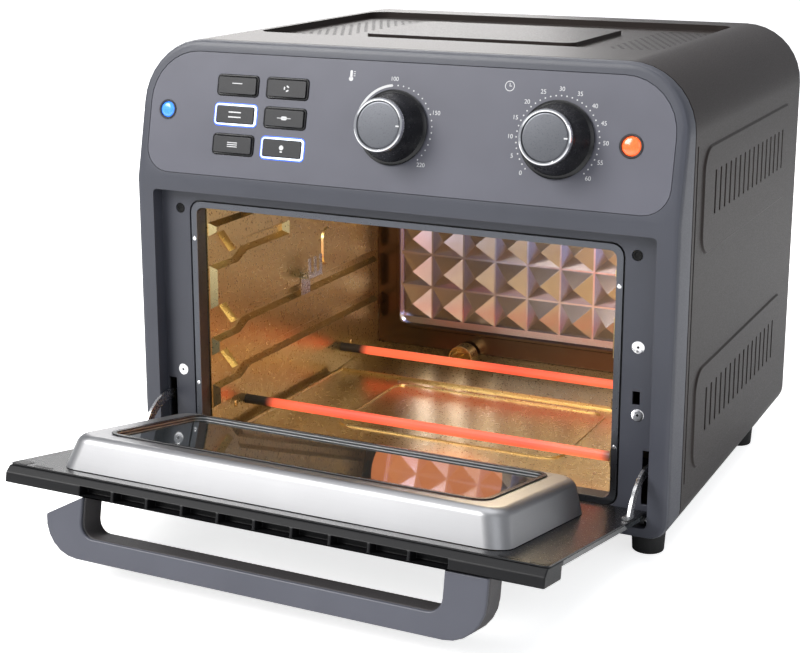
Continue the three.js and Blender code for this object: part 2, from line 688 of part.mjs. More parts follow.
function sidePanel(side, band, drop) {
  const shape = roundedRect(SIDE_PANEL.front, SIDE_PANEL.rear, band.bottom, band.top, SIDE_PANEL.radius);
  const face = HALF_WIDTH + SIDE_PANEL.height - drop;
  const root = face - SIDE_PANEL.height - 2 * SHEET;
  return pressed('yz', shape, side * root, side * face, SIDE_PANEL.height);
}

function sidePanels(drop) {
  const bands = [SIDE_PANEL_LOWER, SIDE_PANEL_UPPER];
  return union(...[-1, 1].flatMap((side) => bands.map((band) => sidePanel(side, band, drop))));
}

function shellVents() {
  const pitch = (VENT_LAST_Y - VENT_FIRST_Y) / (VENT_COUNT - 1);
  const slots = [];
  for (let index = 0; index < VENT_COUNT; index += 1) {
    const front = VENT_FIRST_Y + index * pitch - VENT_WIDTH / 2;
    [VENT_LOWER, VENT_UPPER].forEach(({ bottom, top }) => {
      slots.push(box(-OVEN_WIDTH, OVEN_WIDTH, front, front + VENT_WIDTH, bottom, top));
    });
  }
  const seamFront = SHELL_SLOT_Y - SHELL_SLOT_WIDTH / 2;
  const seamRear = seamFront + SHELL_SLOT_WIDTH;
  slots.push(box(-OVEN_WIDTH, OVEN_WIDTH, seamFront, seamRear, SHELL_SLOT_BOTTOM, SHELL_SLOT_TOP));
  return union(...slots);
}

function outerShell() {
  const outside = union(
    cut(slab('xz', outline(0), SHELL_FRONT, BODY_REAR), topRelief(0, 0)), topIsland(0), sidePanels(0));
  const tube = slab('xz', outline(SHEET), SHELL_FRONT - OVERCUT, BODY_REAR + OVERCUT);
  const inside = union(cut(tube, topRelief(SHEET, SHEET)), topIsland(SHEET), sidePanels(SHEET));
  const [front, rear] = [SHELL_FRONT - OVERCUT, BODY_REAR + OVERCUT];
  const underside = box(
    -SHELL_RETURN, SHELL_RETURN, front, rear, BODY_BOTTOM - OVERCUT, BODY_BOTTOM + OVERCUT);
  const feet = [-1, 1].map((side) => rod(
    'z', BODY_BOTTOM - OVERCUT, BODY_BOTTOM + OVERCUT, [side * FOOT_X, FOOT_REAR_Y],
    FOOT_SPIGOT_RADIUS + SEAT_GAP, SMALL_STEPS));
  return cut(outside, inside, underside, shellVents(), ...feet);
}

function basePlate() {
  const front = BEZEL_REAR + BEZEL_LIP_LENGTH + SEAT_GAP;
  const rear = BODY_REAR - REAR_COVER_INSET - SHEET - SEAT_GAP;
  const plate = box(-BASE_HALF_WIDTH, BASE_HALF_WIDTH, front, rear, BASE_FLOOR, BASE_FLOOR + SHEET);
  const middle = (front + rear) / 2;
  const slots = [];
  for (let index = 0; index < BASE_VENT_COUNT; index += 1) {
    const left = (index - (BASE_VENT_COUNT - 1) / 2) * BASE_VENT_PITCH - BASE_VENT_WIDTH / 2;
    const [slotFront, slotRear] = [middle - BASE_VENT_HALF_LENGTH, middle + BASE_VENT_HALF_LENGTH];
    const right = left + BASE_VENT_WIDTH;
    slots.push(box(left, right, slotFront, slotRear, BASE_FLOOR - OVERCUT, BASE_FLOOR + OVERCUT));
  }
  const feet = [-1, 1].map((side) => rod(
    'z', BASE_FLOOR - OVERCUT, BASE_FLOOR + OVERCUT, [side * FOOT_X, FOOT_REAR_Y],
    FOOT_SPIGOT_RADIUS + SEAT_GAP, SMALL_STEPS));
  return cut(plate, ...slots, ...feet);
}

function rearCover() {
  const rear = BODY_REAR - REAR_COVER_INSET;
  const plate = slab('xz', outline(SHEET + SEAT_GAP), rear - SHEET, rear);
  const slots = [];
  for (let index = 0; index < REAR_VENT_COUNT; index += 1) {
    const left = (index - (REAR_VENT_COUNT - 1) / 2) * REAR_VENT_PITCH - REAR_VENT_WIDTH / 2;
    const right = left + REAR_VENT_WIDTH;
    slots.push(box(left, right, rear - OVERCUT, rear + OVERCUT, REAR_VENT.bottom, REAR_VENT.top));
  }
  const glandPlace = [GLAND_X, GLAND_HEIGHT];
  const bore = rod('y', rear - OVERCUT, rear + OVERCUT, glandPlace, GLAND_RADIUS + SEAT_GAP, SMALL_STEPS);
  return cut(plate, bore, ...slots);
}

// The bushing that the supply cord leaves through, with its flange outside the rear cover
function cordGland() {
  const cover = BODY_REAR - REAR_COVER_INSET;
  const place = [GLAND_X, GLAND_HEIGHT];
  const flangeRear = cover + SEAT_GAP + GLAND_PROUD;
  const flange = rod('y', cover + SEAT_GAP, flangeRear, place, GLAND_FLANGE_RADIUS, SMALL_STEPS);
  const barrel = rod('y', cover - OVERCUT, cover + SHEET, place, GLAND_RADIUS, SMALL_STEPS);
  const bore = rod('y', cover - 2 * OVERCUT, BODY_REAR, place, GLAND_BORE, SMALL_STEPS);
  return cut(union(flange, barrel), bore);
}

function foot(side, y) {
  const top = BODY_BOTTOM - SEAT_GAP;
  const spigotTop = BODY_BOTTOM + FOOT_SPIGOT_LENGTH;
  const body = turned([
    [0, 0], [FOOT_RADIUS, 0], [FOOT_TOP_RADIUS, top], [FOOT_SPIGOT_RADIUS, top],
    [FOOT_SPIGOT_RADIUS, spigotTop], [0, spigotTop],
  ]);
  return shifted(body, side * FOOT_X, y, 0);
}

// Rail groove edges along the wall, as (depth, height) from front to rear
function grooveFloor(rail, rear) {
  return [
    [RELIEF_FRONT, rail - FUNNEL_DROP], [JOG_START_Y, rail - FUNNEL_DROP], [JOG_END_Y, rail], [rear, rail]];
}

function grooveRoof(rail, rear) {
  const low = rail - FUNNEL_DROP;
  return [
    [RELIEF_FRONT, low + FUNNEL_OPENING], [FUNNEL_STRAIGHT_Y, low + FUNNEL_OPENING],
    [FUNNEL_END_Y, low + RAIL_GROOVE], [JOG_START_Y, low + RAIL_GROOVE],
    [JOG_END_Y, rail + RAIL_GROOVE], [rear, rail + RAIL_GROOVE]];
}

// Raised fields between the rack grooves of the right wall
function railFields() {
  const [low, middle, high] = RAIL_HEIGHTS;
  const lower = [[RELIEF_FRONT, RELIEF_BOTTOM], [RELIEF_REAR, RELIEF_BOTTOM],
    ...grooveFloor(low, RELIEF_REAR).reverse()];
  const centre = [...grooveRoof(low, RELIEF_REAR), ...grooveFloor(middle, RELIEF_REAR).reverse()];
  const upper = [...grooveRoof(middle, RELIEF_REAR), [RELIEF_REAR, RELIEF_TOP], [RELIEF_FRONT, RELIEF_TOP],
    ...grooveRoof(high, TOP_RAIL_REAR), ...grooveFloor(high, TOP_RAIL_REAR).reverse()];
  const rise = WALL_BASE_X - WALL_FACE_X;
  const backing = WALL_BASE_X + rise + OVERCUT;
  const fields = [lower, centre, upper].map((points) => (
    pressed('yz', polygon(points), WALL_FACE_X, backing, rise, RELIEF_RUN)));
  const { front, rear, bottom, top, height } = EMBOSS_BAR;
  const bar = roundedRect(front, rear, bottom, top, (rear - front) / 2 - SEAT_GAP);
  fields.push(pressed('yz', bar, WALL_FACE_X - height, backing, height));
  return union(...fields);
}

// Side of the cavity floor and roof that every wall stops short of
function wallProfile() {
  return polygon([
    [WALL_FRONT, CAVITY_FLOOR + SEAT_GAP], [FLOOR_FLAT_REAR, CAVITY_FLOOR + SEAT_GAP],
    [FLOOR_RISE_REAR, CAVITY_FLOOR_REAR + SEAT_GAP], [WALL_BACK, CAVITY_FLOOR_REAR + SEAT_GAP],
    [WALL_BACK, CAVITY_ROOF - SEAT_GAP], [WALL_FRONT, CAVITY_ROOF - SEAT_GAP]]);
}

function heaterHoles() {
  const bore = HEATER_RADIUS + SEAT_GAP;
  const [from, to] = [WALL_FACE_X - OVERCUT, WALL_BASE_X + OVERCUT];
  const places = HEATER_Y.flatMap((y) => [[y, HEATER_LOW], [y, HEATER_HIGH]]);
  return union(...places.map((place) => rod('x', from, to, place, bore, SMALL_STEPS)));
}

// Pressed right-hand wall: the raised side taken from itself one sheet further out
function pressedWall() {
  const block = union(
    slab('yz', wallProfile(), WALL_BASE_X, WALL_BASE_X + 2 * OVERCUT), railFields());
  const behind = box(
    WALL_BASE_X + SHEET, OVEN_WIDTH, -OVEN_WIDTH, OVEN_WIDTH, -OVEN_WIDTH, OVEN_WIDTH);
  return cut(block, shifted(block, SHEET, 0, 0), behind, heaterHoles());
}

function rightWall() {
  const [from, to] = [WALL_FACE_X - OVERCUT, WALL_BASE_X + OVERCUT];
  const lamp = rod('x', from, to, [LAMP_Y, LAMP_HEIGHT], LAMP_BODY_RADIUS + SEAT_GAP);
  const spit = rod('x', from, to, [SPIT_Y, SPIT_HEIGHT], SOCKET_SHAFT_RADIUS + SEAT_GAP, SMALL_STEPS);
  return cut(pressedWall(), lamp, spit);
}

function studs() {
  const list = [];
  const rise = STUD_HEIGHT + STUD_SINK;
  for (let column = 0; column < STUD_COLUMNS; column += 1) {
    for (let row = 0; row < STUD_ROWS; row += 1) {
      const cone = new THREE.ConeGeometry(Math.SQRT1_2, 1, 4, 1, false, Math.PI / 4);
      cone.rotateX(Math.PI);
      cone.scale(STUD_PITCH_X, rise, STUD_PITCH_Z);
      const x = (column - (STUD_COLUMNS - 1) / 2) * STUD_PITCH_X;
      const z = STUD_BOTTOM + (row + 1 / 2) * STUD_PITCH_Z;
      cone.translate(x, CAVITY_REAR + STUD_SINK - rise / 2, z);
      list.push(solid(cone));
    }
  }
  return union(...list);
}

function borderRib() {
  const shape = (inset) => roundedRect(
    -BORDER_HALF_WIDTH + inset, BORDER_HALF_WIDTH - inset, BORDER_BOTTOM + inset, BORDER_TOP - inset,
    BORDER_RADIUS - inset);
  const front = CAVITY_REAR - BORDER_HEIGHT;
  const rib = pressed('xz', shape(0), front, CAVITY_REAR + OVERCUT, BORDER_HEIGHT, BORDER_RUN);
  const field = shape(BORDER_WIDTH - BORDER_RUN);
  return cut(rib, pressed('xz', field, front - 2 * OVERCUT, CAVITY_REAR, BORDER_HEIGHT, BORDER_RUN));
}

function backWall() {
  const half = WALL_BASE_X - SEAT_GAP;
  const [bottom, top] = [CAVITY_FLOOR_REAR + SEAT_GAP, CAVITY_ROOF - SEAT_GAP];
  const plate = box(-half, half, CAVITY_REAR, CAVITY_REAR + OVERCUT, bottom, top);
  const block = union(plate, borderRib(), studs());
  const behind = box(-OVEN_WIDTH, OVEN_WIDTH, WALL_BACK, OVEN_WIDTH, -OVEN_WIDTH, OVEN_WIDTH);
  return cut(block, shifted(block, 0, SHEET, 0), behind);
}

function cavityRoof() {
  const half = WALL_BASE_X + SHEET;
  const centre = [0, FAN_Y];
  const sheet = box(-half, half, WALL_FRONT, WALL_BACK, CAVITY_ROOF, INNER_ROOF);
  const can = rod('z', CAVITY_ROOF, CAN_TOP, centre, FAN_CAN_RADIUS);
  const inside = rod('z', CAVITY_ROOF - OVERCUT, CAN_TOP - SHEET, centre, FAN_CAN_RADIUS - SHEET);
  const boreRadius = FAN_SHAFT_RADIUS + SEAT_GAP;
  const shaft = rod('z', CAN_TOP - OVERCUT, CAN_TOP + OVERCUT, centre, boreRadius, SMALL_STEPS);
  return cut(union(sheet, can), inside, shaft);
}

// Cavity floor: flat under the tray, rising to the back wall, with an arched notch at the rear
function cavityFloor() {
  const front = RECESS_DEPTH + RECESS_WALL + SEAT_GAP;
  const half = WALL_BASE_X + SHEET;
  const profile = polygon([
    [front, CAVITY_FLOOR - SHEET], [FLOOR_FLAT_REAR, CAVITY_FLOOR - SHEET],
    [FLOOR_RISE_REAR, CAVITY_FLOOR_REAR - SHEET], [WALL_BACK, CAVITY_FLOOR_REAR - SHEET],
    [WALL_BACK, CAVITY_FLOOR_REAR], [FLOOR_RISE_REAR, CAVITY_FLOOR_REAR],
    [FLOOR_FLAT_REAR, CAVITY_FLOOR], [front, CAVITY_FLOOR]]);
  const archPlace = [ARCH_X, CAVITY_FLOOR_REAR - SHEET];
  const archFront = CAVITY_REAR - BORDER_HEIGHT - ARCH_LENGTH;
  const archRear = archFront + ARCH_LENGTH;
  const arch = rod('y', archFront, archRear, archPlace, ARCH_RADIUS);
  const archInside = rod('y', archFront - OVERCUT, archRear - SHEET, archPlace, ARCH_RADIUS - ARCH_WALL);
  const below = box(-half, half, archFront - OVERCUT, WALL_BACK, CAVITY_FLOOR - ARCH_RADIUS, CAVITY_FLOOR);
  const sheet = slab('yz', profile, -half, half);
  return union(sheet, cut(arch, archInside, below));
}

function cavityFrontFrame() {
  const innerInset = FRAME_OUTER_X - FRAME_INNER_X;
  const rear = RECESS_DEPTH + RECESS_WALL + SEAT_GAP + SHEET;
  const inner = roundedRect(
    -FRAME_INNER_X, FRAME_INNER_X, FRAME_INNER_BOTTOM, FRAME_INNER_TOP, FRAME_INNER_RADIUS);
  const jambShape = roundedRect(
    -FRAME_INNER_X - SHEET, FRAME_INNER_X + SHEET, FRAME_INNER_BOTTOM - SHEET, FRAME_INNER_TOP + SHEET,
    FRAME_INNER_RADIUS + SHEET);
  const face = slab('xz', frameShape(0), RECESS_DEPTH, rear);
  const flange = slab('xz', frameShape(-FRAME_FLANGE), rear - SHEET, rear);
  const jamb = slab('xz', jambShape, rear - innerInset / 2, JAMB_REAR);
  return cut(union(face, flange, jamb), slab('xz', inner, 0, BEZEL_REAR));
}

function heater(y, z) {
  const half = HEATER_HALF_LENGTH;
  const body = turned([
    [0, -half], [HEATER_END_RADIUS, -half], [HEATER_END_RADIUS, -HEATER_SHOULDER_X],
    [HEATER_RADIUS, -HEATER_SHOULDER_X], [HEATER_RADIUS, HEATER_SHOULDER_X],
    [HEATER_END_RADIUS, HEATER_SHOULDER_X], [HEATER_END_RADIUS, half], [0, half]], SMALL_STEPS);
  const across = new THREE.Matrix4().makeRotationY(Math.PI / 2);
  return moved(body, new THREE.Matrix4().makeTranslation(0, y, z).multiply(across));
}

function ovenLamp() {
  const face = WALL_FACE_X - SEAT_GAP;
  const domeTop = face - LAMP_FLANGE - OVERCUT;
  const shoulder = face - LAMP_FLANGE;
  const body = turned([
    [0, domeTop], [LAMP_BODY_RADIUS / 2, domeTop + SHEET], [LAMP_BODY_RADIUS, shoulder],
    [LAMP_FLANGE_RADIUS, shoulder], [LAMP_FLANGE_RADIUS, face], [LAMP_BODY_RADIUS, face],
    [LAMP_BODY_RADIUS, face + LAMP_LENGTH], [0, face + LAMP_LENGTH]]);
  const across = new THREE.Matrix4().makeRotationY(Math.PI / 2);
  return moved(body, new THREE.Matrix4().makeTranslation(0, LAMP_Y, LAMP_HEIGHT).multiply(across));
}

// Driven socket that takes the square end of a spit
function rotisserieSocket() {
  const face = WALL_FACE_X - SEAT_GAP;
  const place = [SPIT_Y, SPIT_HEIGHT];
  const cup = rod('x', face - SOCKET_LENGTH, face, place, SOCKET_RADIUS);
  const shaft = rod('x', face - SHEET, face + SOCKET_SHAFT_LENGTH, place, SOCKET_SHAFT_RADIUS, SMALL_STEPS);
  const half = SOCKET_SQUARE;
  const mouth = box(
    face - SOCKET_LENGTH - OVERCUT, face - SHEET, SPIT_Y - half, SPIT_Y + half,
    SPIT_HEIGHT - half, SPIT_HEIGHT + half);
  return cut(union(cup, shaft), mouth);
}

function rotisserieMotor() {
  const half = SPIT_MOTOR.size / 2;
  const from = WALL_BASE_X + SHEET + SEAT_GAP;
  const shape = roundedRect(
    SPIT_Y - half, SPIT_Y + half, SPIT_HEIGHT - half, SPIT_HEIGHT + half, SPIT_MOTOR.radius);
  const body = slab('yz', shape, from, from + SPIT_MOTOR.depth);
  const boreEnd = WALL_FACE_X + SOCKET_SHAFT_LENGTH + SHEET;
  const boreRadius = SOCKET_SHAFT_RADIUS + SEAT_GAP;
  return cut(body, rod('x', from - OVERCUT, boreEnd, [SPIT_Y, SPIT_HEIGHT], boreRadius, SMALL_STEPS));
}

// Three-pronged rest for the plain end of a spit, screwed to the left wall
function rotisserieBracket() {
  const wall = -WALL_FACE_X + SEAT_GAP;
  const { width, tabBottom, tabWidth, shelf, top, reach, prong, prongs } = BRACKET;
  const [front, rear] = [SPIT_Y - width / 2, SPIT_Y + width / 2];
  const [tabFront, tabRear] = [SPIT_Y - tabWidth / 2, SPIT_Y + tabWidth / 2];
  const tab = box(wall, wall + SHEET, tabFront, tabRear, tabBottom, shelf + SHEET);
  const ledge = box(wall, wall + reach, front, rear, shelf, shelf + SHEET);
  const comb = box(wall + reach - SHEET, wall + reach, front, rear, shelf, top);
  const gap = (width - prongs * prong) / (prongs - 1);
  const slots = [front + prong, rear - prong - gap].map((start) => (
    box(wall + reach - OVERCUT, wall + reach + OVERCUT, start, start + gap, shelf + prong, top + OVERCUT)));
  return cut(union(tab, ledge, comb), ...slots);
}

// Fan hanging in its can from the motor shaft
function convectionFan() {
  const centre = [0, FAN_Y];
  const bottom = INNER_ROOF + FAN_LIFT;
  const top = bottom + FAN_BLADE_HEIGHT;
  const hub = rod('z', bottom, top + SHEET, centre, FAN_HUB_RADIUS);
  const disc = rod('z', top, top + FAN_BLADE_WALL, centre, FAN_RADIUS);
  const shaftTop = CAN_TOP + FAN_MOTOR_HEIGHT / 2;
  const shaft = rod('z', top, shaftTop, centre, FAN_SHAFT_RADIUS, SMALL_STEPS);
  const blades = [];
  for (let index = 0; index < FAN_BLADES; index += 1) {
    const blade = box(
      FAN_HUB_RADIUS / 2, FAN_RADIUS - FAN_BLADE_WALL, -FAN_BLADE_WALL / 2, FAN_BLADE_WALL / 2,
      bottom, top + SHEET / 2);
    const turn = new THREE.Matrix4().makeRotationZ((index / FAN_BLADES) * 2 * Math.PI);
    blades.push(moved(blade, new THREE.Matrix4().makeTranslation(0, FAN_Y, 0).multiply(turn)));
  }
  return union(hub, disc, shaft, ...blades);
}

function fanMotor() {
  const centre = [0, FAN_Y];
  const bottom = CAN_TOP + SEAT_GAP;
  const body = rod('z', bottom, bottom + FAN_MOTOR_HEIGHT, centre, FAN_MOTOR_RADIUS);
  const boreTop = CAN_TOP + FAN_MOTOR_HEIGHT / 2 + SHEET;
  return cut(body, rod('z', bottom - OVERCUT, boreTop, centre, FAN_SHAFT_RADIUS + SEAT_GAP, SMALL_STEPS));
}

function fanGuard() {
  const top = CAVITY_ROOF - SEAT_GAP;
  const plate = rod('z', top - SHEET, top, [0, FAN_Y], GUARD_RADIUS);
  const slots = [];
  for (let index = 0; index < GUARD_SLOTS; index += 1) {
    const slot = box(
      GUARD_SLOT_INNER, GUARD_SLOT_OUTER, -GUARD_SLOT_WIDTH / 2, GUARD_SLOT_WIDTH / 2,
      top - OVERCUT, top + OVERCUT);
    const turn = new THREE.Matrix4().makeRotationZ((index / GUARD_SLOTS) * 2 * Math.PI);
    slots.push(moved(slot, new THREE.Matrix4().makeTranslation(0, FAN_Y, 0).multiply(turn)));
  }
  return cut(plate, ...slots);
}

function crumbTray() {
  const bottom = CAVITY_FLOOR + SEAT_GAP;
  const half = TRAY_HALF_WIDTH;
  const tub = box(-half, half, TRAY_FRONT, TRAY_REAR, bottom, bottom + TRAY_RIM);
  const inside = box(
    -half + SHEET, half - SHEET, TRAY_FRONT + SHEET, TRAY_REAR - SHEET,
    bottom + SHEET, bottom + TRAY_RIM + OVERCUT);
  const beadShape = (inset) => roundedRect(
    -TRAY_BEAD.halfWidth + inset, TRAY_BEAD.halfWidth - inset,
    TRAY_BEAD.front + inset, TRAY_BEAD.rear - inset,
    TRAY_BEAD.radius - inset);
  const beadTop = bottom + SHEET + TRAY_BEAD.height;
  const bead = cut(
    slab('xy', beadShape(0), bottom, beadTop),
    slab('xy', beadShape(TRAY_BEAD.width), bottom - SHEET, beadTop + SHEET));
  const notch = box(
    TRAY_NOTCH.left, TRAY_NOTCH.right, TRAY_FRONT - OVERCUT, TRAY_FRONT + SHEET,
    bottom + SHEET + SHEET, bottom + TRAY_RIM + OVERCUT);
  return cut(union(cut(tub, inside), bead), notch);
}

// Control pieces, built upright and hung on the slope by their group
function controlPanel() {
  const sheet = slab('xz', panelShape(SEAT_GAP), 0, PANEL_SHEET);
  return cut(sheet, panelHoles(-OVERCUT, OVERCUT));
}

function lightGuide() {
  const half = BUTTON_WIDTH / 2 + LIGHT_GUIDE_MARGIN;
  const reach = BUTTON_HEIGHT / 2 + LIGHT_GUIDE_MARGIN;
  const left = BUTTON_COLUMNS[0] - half;
  const right = BUTTON_COLUMNS[1] + half;
  const plate = box(left, right, -GUIDE_FRONT, -GUIDE_REAR, BUTTON_ROWS[2] - reach, BUTTON_ROWS[0] + reach);
  const rims = buttonPlaces().map(([x, v]) => (
    slab('xz', buttonShape(x, v, 0), -BUTTON_RIM_PROUD, -GUIDE_REAR)));
  const holes = buttonPlaces().map(([x, v]) => (
    slab('xz', buttonShape(x, v, -BUTTON_RIM), -OVERCUT, -GUIDE_REAR + OVERCUT)));
  return cut(union(plate, ...rims), ...holes);
}

function button(x, v) {
  const cap = slab('xz', buttonShape(x, v, -BUTTON_RIM - SEAT_GAP), -BUTTON_PROUD, -BUTTON_FLANGE_REAR);
  const flange = slab('xz', buttonShape(x, v, -SEAT_GAP), -BUTTON_FLANGE_FRONT, -BUTTON_FLANGE_REAR);
  const half = BUTTON_STEM / 2;
  const stem = box(x - half, x + half, -BUTTON_FLANGE_FRONT, -BUTTON_STEM_END, v - half, v + half);
  return union(cap, flange, stem);
}

function switchBoard() {
  const { left, right, low, high } = boardEdges();
  return box(left, right, -BOARD_FRONT, -BOARD_REAR, low, high);
}

function lamp({ x, v, radius }) {
  const steps = SMALL_STEPS;
  const dome = turned([
    [0, -LAMP_TAIL], [radius, -LAMP_TAIL], [radius, 0], [radius * Math.SQRT1_2, LAMP_PROUD * Math.SQRT1_2],
    [0, LAMP_PROUD]], steps);
  return moved(dome, faceMatrix(x, v));
}

// Takes a piece turned about Z to a place on the upright panel, with Z pointing out of the face
function faceMatrix(x, v) {
  const outward = new THREE.Matrix4().makeRotationX(Math.PI / 2);
  return new THREE.Matrix4().makeTranslation(x, 0, v).multiply(outward);
}

function knobBody() {
  const bore = SHAFT_RADIUS + SEAT_GAP;
  const boreEnd = SHAFT_INSERT + SEAT_GAP;
  return turned([
    [0, boreEnd], [bore, boreEnd], [bore, KNOB_CLEARANCE], [KNOB_SKIRT_RADIUS, KNOB_CLEARANCE],
    [KNOB_SKIRT_RADIUS, KNOB_SKIRT_HEIGHT], [KNOB_NECK_RADIUS, KNOB_NECK_HEIGHT],
    [KNOB_TOP_RADIUS, KNOB_TOP_HEIGHT], [0, KNOB_TOP_HEIGHT]], 2 * ROUND_STEPS);
}

function knobRing() {
  const inner = KNOB_CAP_RADIUS + SEAT_GAP;
  const bottom = KNOB_TOP_HEIGHT + SEAT_GAP;
  const middle = (inner + KNOB_RING_RADIUS) / 2;
  const edge = KNOB_FACE_HEIGHT - (KNOB_RING_RADIUS - inner) / 2;
  return turned([
    [inner, bottom], [KNOB_RING_RADIUS, bottom], [KNOB_RING_RADIUS, edge], [middle, KNOB_FACE_HEIGHT],
    [inner, edge], [inner, bottom]], 2 * ROUND_STEPS);
}

function knobCap() {
  const bottom = KNOB_TOP_HEIGHT + SEAT_GAP;
  const top = KNOB_FACE_HEIGHT - SEAT_GAP;
  return turned([[0, bottom], [KNOB_CAP_RADIUS, bottom], [KNOB_CAP_RADIUS, top - SEAT_GAP],
    [KNOB_CAP_RADIUS - SEAT_GAP, top], [0, top]], 2 * ROUND_STEPS);
}

function knobShaft() {
  return turned([
    [0, -SHAFT_DEPTH], [SHAFT_RADIUS, -SHAFT_DEPTH],
    [SHAFT_RADIUS, SHAFT_INSERT], [0, SHAFT_INSERT]], SMALL_STEPS);
}

// Thermostat or timer body behind the bezel's front wall, bored for its shaft
function dialUnit(x, { width, height, depth }) {
  const front = BEZEL_WALL + SEAT_GAP;
  const half = width / 2;
  const [low, high] = [KNOB_CENTRE_V - height / 2, KNOB_CENTRE_V + height / 2];
  const body = slab('xz', roundedRect(x - half, x + half, low, high, POST_RADIUS), front, front + depth);
  const bore = rod('y', 0, SHAFT_DEPTH + SHEET, [x, KNOB_CENTRE_V], SHAFT_RADIUS + SEAT_GAP, SMALL_STEPS);
  return cut(body, bore);
}

// Door pieces, built shut about the hinge axis: Y is inward and Z up from the hinge
function doorSlab(shape, outer, inner, bevel = 0) {
  return slab('xz', shape, -outer, -inner, bevel);
}

function windowShape(grow) {
  const half = WINDOW_HALF_WIDTH + grow;
  return roundedRect(-half, half, WINDOW_BOTTOM - grow, WINDOW_TOP + grow, WINDOW_RADIUS + grow);
}

function doorLug(side) {
  const [near, far] = [FLANGE_HALF_WIDTH - LUG_WIDTH, FLANGE_HALF_WIDTH];
  const barrel = rod('x', side * near, side * far, [0, 0], LUG_RADIUS, SMALL_STEPS);
  const [left, right] = side > 0 ? [near, far] : [-far, -near];
  return union(barrel, box(left, right, 0, -DOOR_INNER, FLANGE_BOTTOM, LUG_RADIUS));
}

function doorFlange() {
  const half = FLANGE_HALF_WIDTH;
  const sheet = doorSlab(
    roundedRect(-half, half, FLANGE_BOTTOM, FLANGE_TOP, SHEET, FLANGE_RADIUS), DOOR_BACK_LAYER, DOOR_INNER);
  const mouthHalf = PAN_HALF_WIDTH - PAN_SEAM_WIDTH;
  const [mouthLow, mouthHigh] = [PAN_BOTTOM + PAN_SEAM_WIDTH, PAN_TOP - PAN_SEAM_WIDTH];
  const mouth = doorSlab(
    roundedRect(-mouthHalf, mouthHalf, mouthLow, mouthHigh, PAN_RADIUS - PAN_SEAM_WIDTH),
    OVERCUT, DOOR_INNER - OVERCUT);
  const pins = rod('x', -OVEN_WIDTH, OVEN_WIDTH, [0, 0], PIN_BORE, SMALL_STEPS);
  return cut(union(cut(sheet, mouth), doorLug(-1), doorLug(1)), pins);
}

// Closed body through a row of rings that all have the same number of points
function loft(rings) {
  const count = rings[0].length;
  const positions = rings.flat().flatMap((point) => point.toArray());
  const index = [];
  rings.slice(1).forEach((_, ring) => {
    for (let step = 0; step < count; step += 1) {
      const [a, b] = [ring * count + step, ring * count + ((step + 1) % count)];
      index.push(a, b, a + count, b, b + count, a + count);
    }
  });
  [0, rings.length - 1].forEach((ring, end) => {
    const middle = positions.length / 3;
    const total = rings[ring].reduce((sum, point) => sum.add(point), new THREE.Vector3());
    const centre = total.divideScalar(count);
    positions.push(...centre.toArray());
    for (let step = 0; step < count; step += 1) {
      const [a, b] = [ring * count + step, ring * count + ((step + 1) % count)];
      index.push(...(end === 0 ? [middle, b, a] : [middle, a, b]));
    }
  });
  const geometry = new THREE.BufferGeometry();
  geometry.setAttribute('position', new THREE.Float32BufferAttribute(positions, 3));
  geometry.setIndex(index);
  return solid(geometry);
}

// Ring of the pan at a height over its base, drawn in by an inset on top of the sides' slope
function panRing(height, inset) {
  const share = height / PAN_HEIGHT;
  const half = THREE.MathUtils.lerp(PAN_HALF_WIDTH, PAN_TOP_HALF_WIDTH, share) - inset;
  const low = THREE.MathUtils.lerp(PAN_BOTTOM, PAN_FACE_BOTTOM, share) + inset;
  const high = THREE.MathUtils.lerp(PAN_TOP, PAN_FACE_TOP, share) - inset;
  const radius = PAN_RADIUS - inset / 2;
  const points = roundedPoints(-half, half, low, high, radius, radius, cornerSteps(PAN_RADIUS));
  return points.map((point) => new THREE.Vector3(point.x, -PAN_BASE + height, point.y));
}

function panBody(inset, height) {
  const rings = [panRing(0, inset)];
  for (let step = 0; step <= PAN_EDGE_STEPS; step += 1) {
    const angle = (step / PAN_EDGE_STEPS) * (Math.PI / 2);
    const rise = height - PAN_EDGE_RADIUS + PAN_EDGE_RADIUS * Math.sin(angle);
    rings.push(panRing(rise, inset + PAN_EDGE_RADIUS * (1 - Math.cos(angle))));
  }
  return loft(rings);
}

function doorPan() {
  const outside = panBody(0, PAN_HEIGHT - SEAT_GAP);
  const inside = panBody(SHEET, PAN_HEIGHT - SEAT_GAP - SHEET);
  const open = doorSlab(
    roundedRect(
      -PAN_HALF_WIDTH + PAN_SEAM_WIDTH, PAN_HALF_WIDTH - PAN_SEAM_WIDTH, PAN_BOTTOM + PAN_SEAM_WIDTH,
      PAN_TOP - PAN_SEAM_WIDTH, PAN_RADIUS - PAN_SEAM_WIDTH),
    PAN_BASE + OVERCUT, PAN_BASE - SHEET);
  const window = doorSlab(windowShape(0), PAN_BASE, PAN_FACE - OVERCUT);
  return cut(outside, inside, open, window);
}

function doorInnerGlass() {
  const back = PAN_FACE + SHEET + SEAT_GAP;
  return doorSlab(windowShape(INNER_GLASS_MARGIN), back + GLASS, back);
}

function doorWindowFrame() {
  const seat = PAN_FACE - SEAT_GAP;
  const ring = doorSlab(windowShape(WINDOW_FRAME_WIDTH), seat, seat - WINDOW_FRAME);
  return cut(ring, doorSlab(windowShape(0), seat + OVERCUT, seat - OVERCUT));
}

function doorOuterGlass() {
  const half = FLANGE_HALF_WIDTH;
  return doorSlab(roundedRect(-half, half, GLASS_BOTTOM, GLASS_TOP, SHEET), GLASS_FRONT, GLASS_BACK);
}

